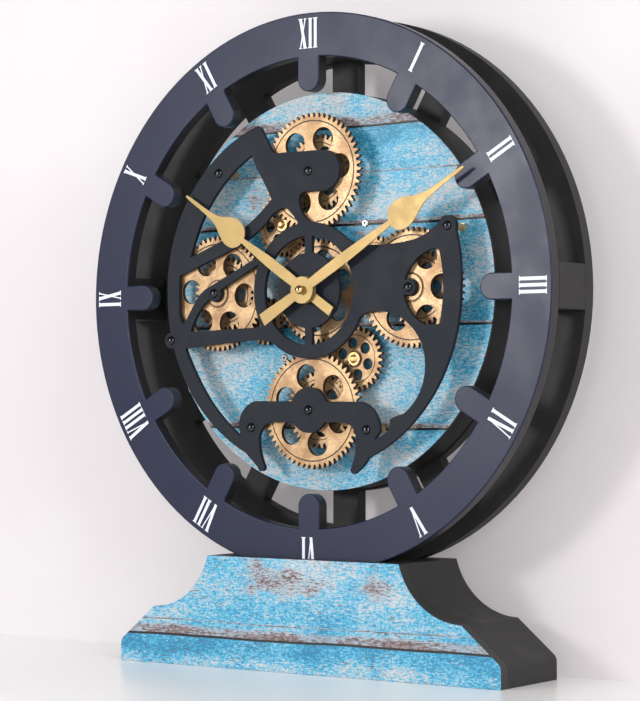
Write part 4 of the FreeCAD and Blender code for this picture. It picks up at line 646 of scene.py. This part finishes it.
bridge_black = sprayed_finish("satin_black_board", "#161a21", "#1f242c", 0.0005, 0.6, 0.00002,
                              gloss=0.22)
eased("bridge_plate", 0.0004, bridge_black)

# The hands and their nut
# Stamped aluminium, anodised champagne gold, with a bright domed nut.

champagne = sprayed_finish("champagne_anodising", "#9c8250", "#a88e5b", 0.0003, 0.45, 0.000005, 0.5)
bright_gold = sprayed_finish("polished_gold_anodising", "#dcb871", "#ecd096", 0.0003, 0.12,
                             0.000002, 1.0)
eased("hour_hand", 0.0003, champagne, "hour_works")
eased("minute_hand", 0.0003, champagne, "minute_works")
eased("hand_nut", 0.0001, bright_gold, "minute_works")

# The movement, the drive and the cell holder
# Black moulded cases on the back of the face, with natural mouldings inside.

black_moulding = sprayed_finish("spark_textured_moulding", "#151516", "#1f1f20", 0.0005, 0.5, 0.00002)
works_moulding = sprayed_finish("natural_moulding", "#d8d4c6", "#e6e2d6", 0.001, 0.35, 0.000005)
sheet_iron = sprayed_finish("punched_iron", "#8a8a8c", "#a3a3a5", 0.0004, 0.4, 0.00001, 1.0)
motor_zinc = sprayed_finish("zinc_plate", "#b4b5b8", "#cccdd0", 0.0006, 0.3, 0.00001, 1.0)
copper_wire = sprayed_finish("enamelled_copper", "#8a3f1d", "#b9622f", 0.0002, 0.3, 0.00002, 0.8)
green_laminate = sprayed_finish("green_laminate", "#1f5a33", "#2a6e40", 0.0008, 0.4, 0.000005)
cell_sleeve = sprayed_finish("plain_cell_sleeve", "#5b5f66", "#6c7078", 0.0006, 0.3, 0.000005, 0.4)
for node, body in (("movement_case", "clock"), ("movement_cover", "clock"), ("gearbox_case", "clock"),
                   ("gearbox_lid", "clock"), ("cell_holder", "clock"), ("set_knob", "setting_works"),
                   ("switch_knob", "switch")):
    eased(node, 0.0003, black_moulding, body)
for node in ("drive_cells", "movement_cell"):
    eased(node, 0.0003, cell_sleeve)
eased("drive_motor", 0.0005, motor_zinc, steps=3)
FINISHES = {
    works_moulding: ("hour_wheel", "works_wheel", "drive_pinion", "drive_wheel", "motor_pinion"),
    sheet_iron: ("motor_stator",),
    copper_wire: ("motor_coil",),
    green_laminate: ("movement_board",),
}
for material, nodes in FINISHES.items():
    for node in nodes:
        coat(node, material)

# The cells' contacts
# Nickel plated: a flat plate for the nub of each cell, and opposite it a plate with a cone spring.


def contact_rule(sizes):
    """Pairs of contacts about their cells' middles: two plates, and a cone spring on the first."""
    tree, given = start_rule("cell_contacts", sizes)
    room, thin, wide = given["Room"], given["Thickness"], given["Plate"]
    slab = add(tree, "ShaderNodeCombineXYZ", {"X": thin, "Y": wide, "Z": wide}).outputs[0]
    parts = []
    for facing in (-0.5, 0.5):
        plate = add(tree, "GeometryNodeMeshCube", {"Size": slab}).outputs["Mesh"]
        inward = reckon(tree, "MULTIPLY", reckon(tree, "SUBTRACT", room, thin), facing)
        parts.append(moved(tree, plate, Translation=along(tree, "X", inward)))
    wire = given["Wire"]
    base = reckon(tree, "SUBTRACT", reckon(tree, "MULTIPLY", wide, 0.5), wire)
    height = reckon(tree, "SUBTRACT", given["Gap"], reckon(tree, "MULTIPLY", wire, 2.0))
    spiral = add(tree, "GeometryNodeCurveSpiral",
                 {"Resolution": 24, "Rotations": given["Coils"], "Start Radius": base,
                  "End Radius": reckon(tree, "MULTIPLY", base, 0.5), "Height": height}).outputs[0]
    coil = add(tree, "GeometryNodeCurveToMesh",
               {"Curve": spiral, "Profile Curve": loop(tree, wire, 10), "Fill Caps": True}).outputs[0]
    start = reckon(tree, "ADD", reckon(tree, "MULTIPLY", room, -0.5), reckon(tree, "ADD", thin, wire))
    parts.append(moved(tree, coil, Translation=along(tree, "X", start),
                       Rotation=(0, math.radians(90), 0)))
    turn = add(tree, "GeometryNodeInputNamedAttribute", {"Name": "turn"}, data_type="FLOAT").outputs[0]
    placed = add(tree, "GeometryNodeInstanceOnPoints",
                 {"Points": given["Geometry"], "Instance": together(tree, *parts),
                  "Rotation": along(tree, "Y", turn)}).outputs[0]
    end_rule(tree, placed, given["Material"])
    return tree


CONTACT_PLATE = 0.0071
contact_sizes = {"Room": 0.054, "Thickness": 0.0004, "Plate": CONTACT_PLATE, "Gap": 0.003,
                 "Wire": 0.0003, "Coils": 4.5, "Material": nickel_plate}
contact_tree = contact_rule(contact_sizes)
contacts_of_cells = [("movement_contacts", 0.054, 0.003, [0.0]),
                     ("drive_contacts", 0.057, 0.006, [0.0, math.pi])]
for node, room, gap, turns in contacts_of_cells:
    low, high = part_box(node)
    x, y = (low.x + high.x) / 2, (low.y + high.y) / 2
    inset = CONTACT_PLATE / 2 if len(turns) > 1 else (high.z - low.z) / 2
    rows = [low.z + inset, high.z - inset][:len(turns)]
    contacts = grown(node + "_finished", contact_tree, {**contact_sizes, "Room": room, "Gap": gap},
                     [(x, y, row) for row in rows], turns)
    dress(contacts, 0, node)

# The room
# A pale gloss table against a pale plastered wall close behind the stand, under a wide soft window
# light from the front left.

FAR = 4.0
WALL = 0.05


def flat_stage(name, corners, material):
    """A flat piece of the room."""
    item = new_piece(name, corners, [(0, 1, 2, 3)])
    item.data.materials.append(material)


table_paint, tree, _ = start_finish("pale_gloss_table")
end_finish(tree, Base_Color=linear("#dfdddb"), Roughness=0.25)
table_corners = [(-FAR, -FAR, 0), (FAR, -FAR, 0), (FAR, FAR, 0), (-FAR, FAR, 0)]
flat_stage("table_top", table_corners, table_paint)

# seen from behind, the wall is clear, so that it hides nothing and lets some light through
plaster, tree, place = start_finish("pale_plaster")
uneven = grain(tree, place, 0.3, detail=3.0)
tone = blend_colours(tree, fade(tree, uneven, 0.3, 0.7), linear("#bbb6b7"), linear("#c0bcbd"))
facing_off = add(tree, "ShaderNodeNewGeometry").outputs["Backfacing"]
let_by = reckon(tree, "MULTIPLY", add(tree, "ShaderNodeLightPath").outputs["Is Shadow Ray"], 0.3)
lime = add(tree, "ShaderNodeBsdfPrincipled", {"Base Color": tone, "Roughness": 0.8,
                                              "Emission Color": tone, "Emission Strength": 0.42})
clear = add(tree, "ShaderNodeBsdfTransparent").outputs[0]
shown = add(tree, "ShaderNodeMixShader", {0: reckon(tree, "MAXIMUM", facing_off, let_by),
                                          1: lime.outputs[0], 2: clear}).outputs[0]
add(tree, "ShaderNodeOutputMaterial", {"Surface": shown})
wall_corners = [(-FAR, WALL, 0), (FAR, WALL, 0), (FAR, WALL, FAR), (-FAR, WALL, FAR)]
flat_stage("back_wall", wall_corners, plaster)

world = bpy.data.worlds.new("pale_room")
bpy.context.scene.world = world
world.use_nodes = True
tree = world.node_tree
tree.nodes.clear()
sky = add(tree, "ShaderNodeTexCoord").outputs["Generated"]
toward = add(tree, "ShaderNodeSeparateXYZ", {0: sky}).outputs
rays = add(tree, "ShaderNodeLightPath").outputs
# mirrors see a dimmer room in front of the clock than behind it
dimmed = fade(tree, toward["Y"], -0.1, 0.35, 0.12, 1.0)
room_white = linear("#eceaeb")
glossy = add(tree, "ShaderNodeBackground", {"Color": room_white, "Strength": dimmed}).outputs[0]
pale = add(tree, "ShaderNodeBackground", {"Color": room_white, "Strength": 1.0}).outputs[0]
ambient = add(tree, "ShaderNodeBackground", {"Color": linear("#f1f2f6"), "Strength": 1.0}).outputs[0]
unseen = add(tree, "ShaderNodeMixShader", {0: rays["Is Glossy Ray"], 1: ambient, 2: glossy}).outputs[0]
mixed = add(tree, "ShaderNodeMixShader", {0: rays["Is Camera Ray"], 1: unseen, 2: pale}).outputs[0]
add(tree, "ShaderNodeOutputWorld", {"Surface": mixed})


def lamp(name, place, aim, size, power):
    """A soft square lamp that shines from a place towards another."""
    light = bpy.data.lights.new(name, "AREA")
    light.size = size
    light.energy = power
    item = placed_in_scene(name, light)
    item.location = place
    item.rotation_euler = (Vector(aim) - Vector(place)).to_track_quat("-Z", "Y").to_euler()


lamp("window", (-1.0, -2.2, 1.5), (0, 0, 0.25), 1.8, 5)
lamp("sheen", (-0.7, -1.5, 0.46), (0.14, 0, 0.33), 0.28, 12)
lamp("side", (2.0, -1.0, 1.0), (0.2, 0, 0.2), 1.2, 32)
lamp("behind", (0.6, 1.8, 1.5), (0, 0, 0.25), 1.5, 8)

CAMERA_PLACE = Vector((0.8929, -1.26045, 0.1729))
CAMERA_AIM = Vector((-0.5814, 0.8133, 0.0204)).normalized()
CAMERA_ROLL = math.radians(-0.07)
camera_data = bpy.data.cameras.new("photo_camera")
camera_data.sensor_fit = "VERTICAL"
camera_data.sensor_height = 36.0
camera_data.lens = 123.47
camera = placed_in_scene("photo_camera", camera_data)
across = CAMERA_AIM.cross(Vector((0, 0, 1))).normalized()
upward = across.cross(CAMERA_AIM)
turned = Matrix((across, upward, -CAMERA_AIM)).transposed() @ Matrix.Rotation(CAMERA_ROLL, 3, "Z")
camera.matrix_world = Matrix.Translation(CAMERA_PLACE) @ turned.to_4x4()
bpy.context.scene.camera = camera
bpy.context.scene.view_settings.view_transform = "Standard"
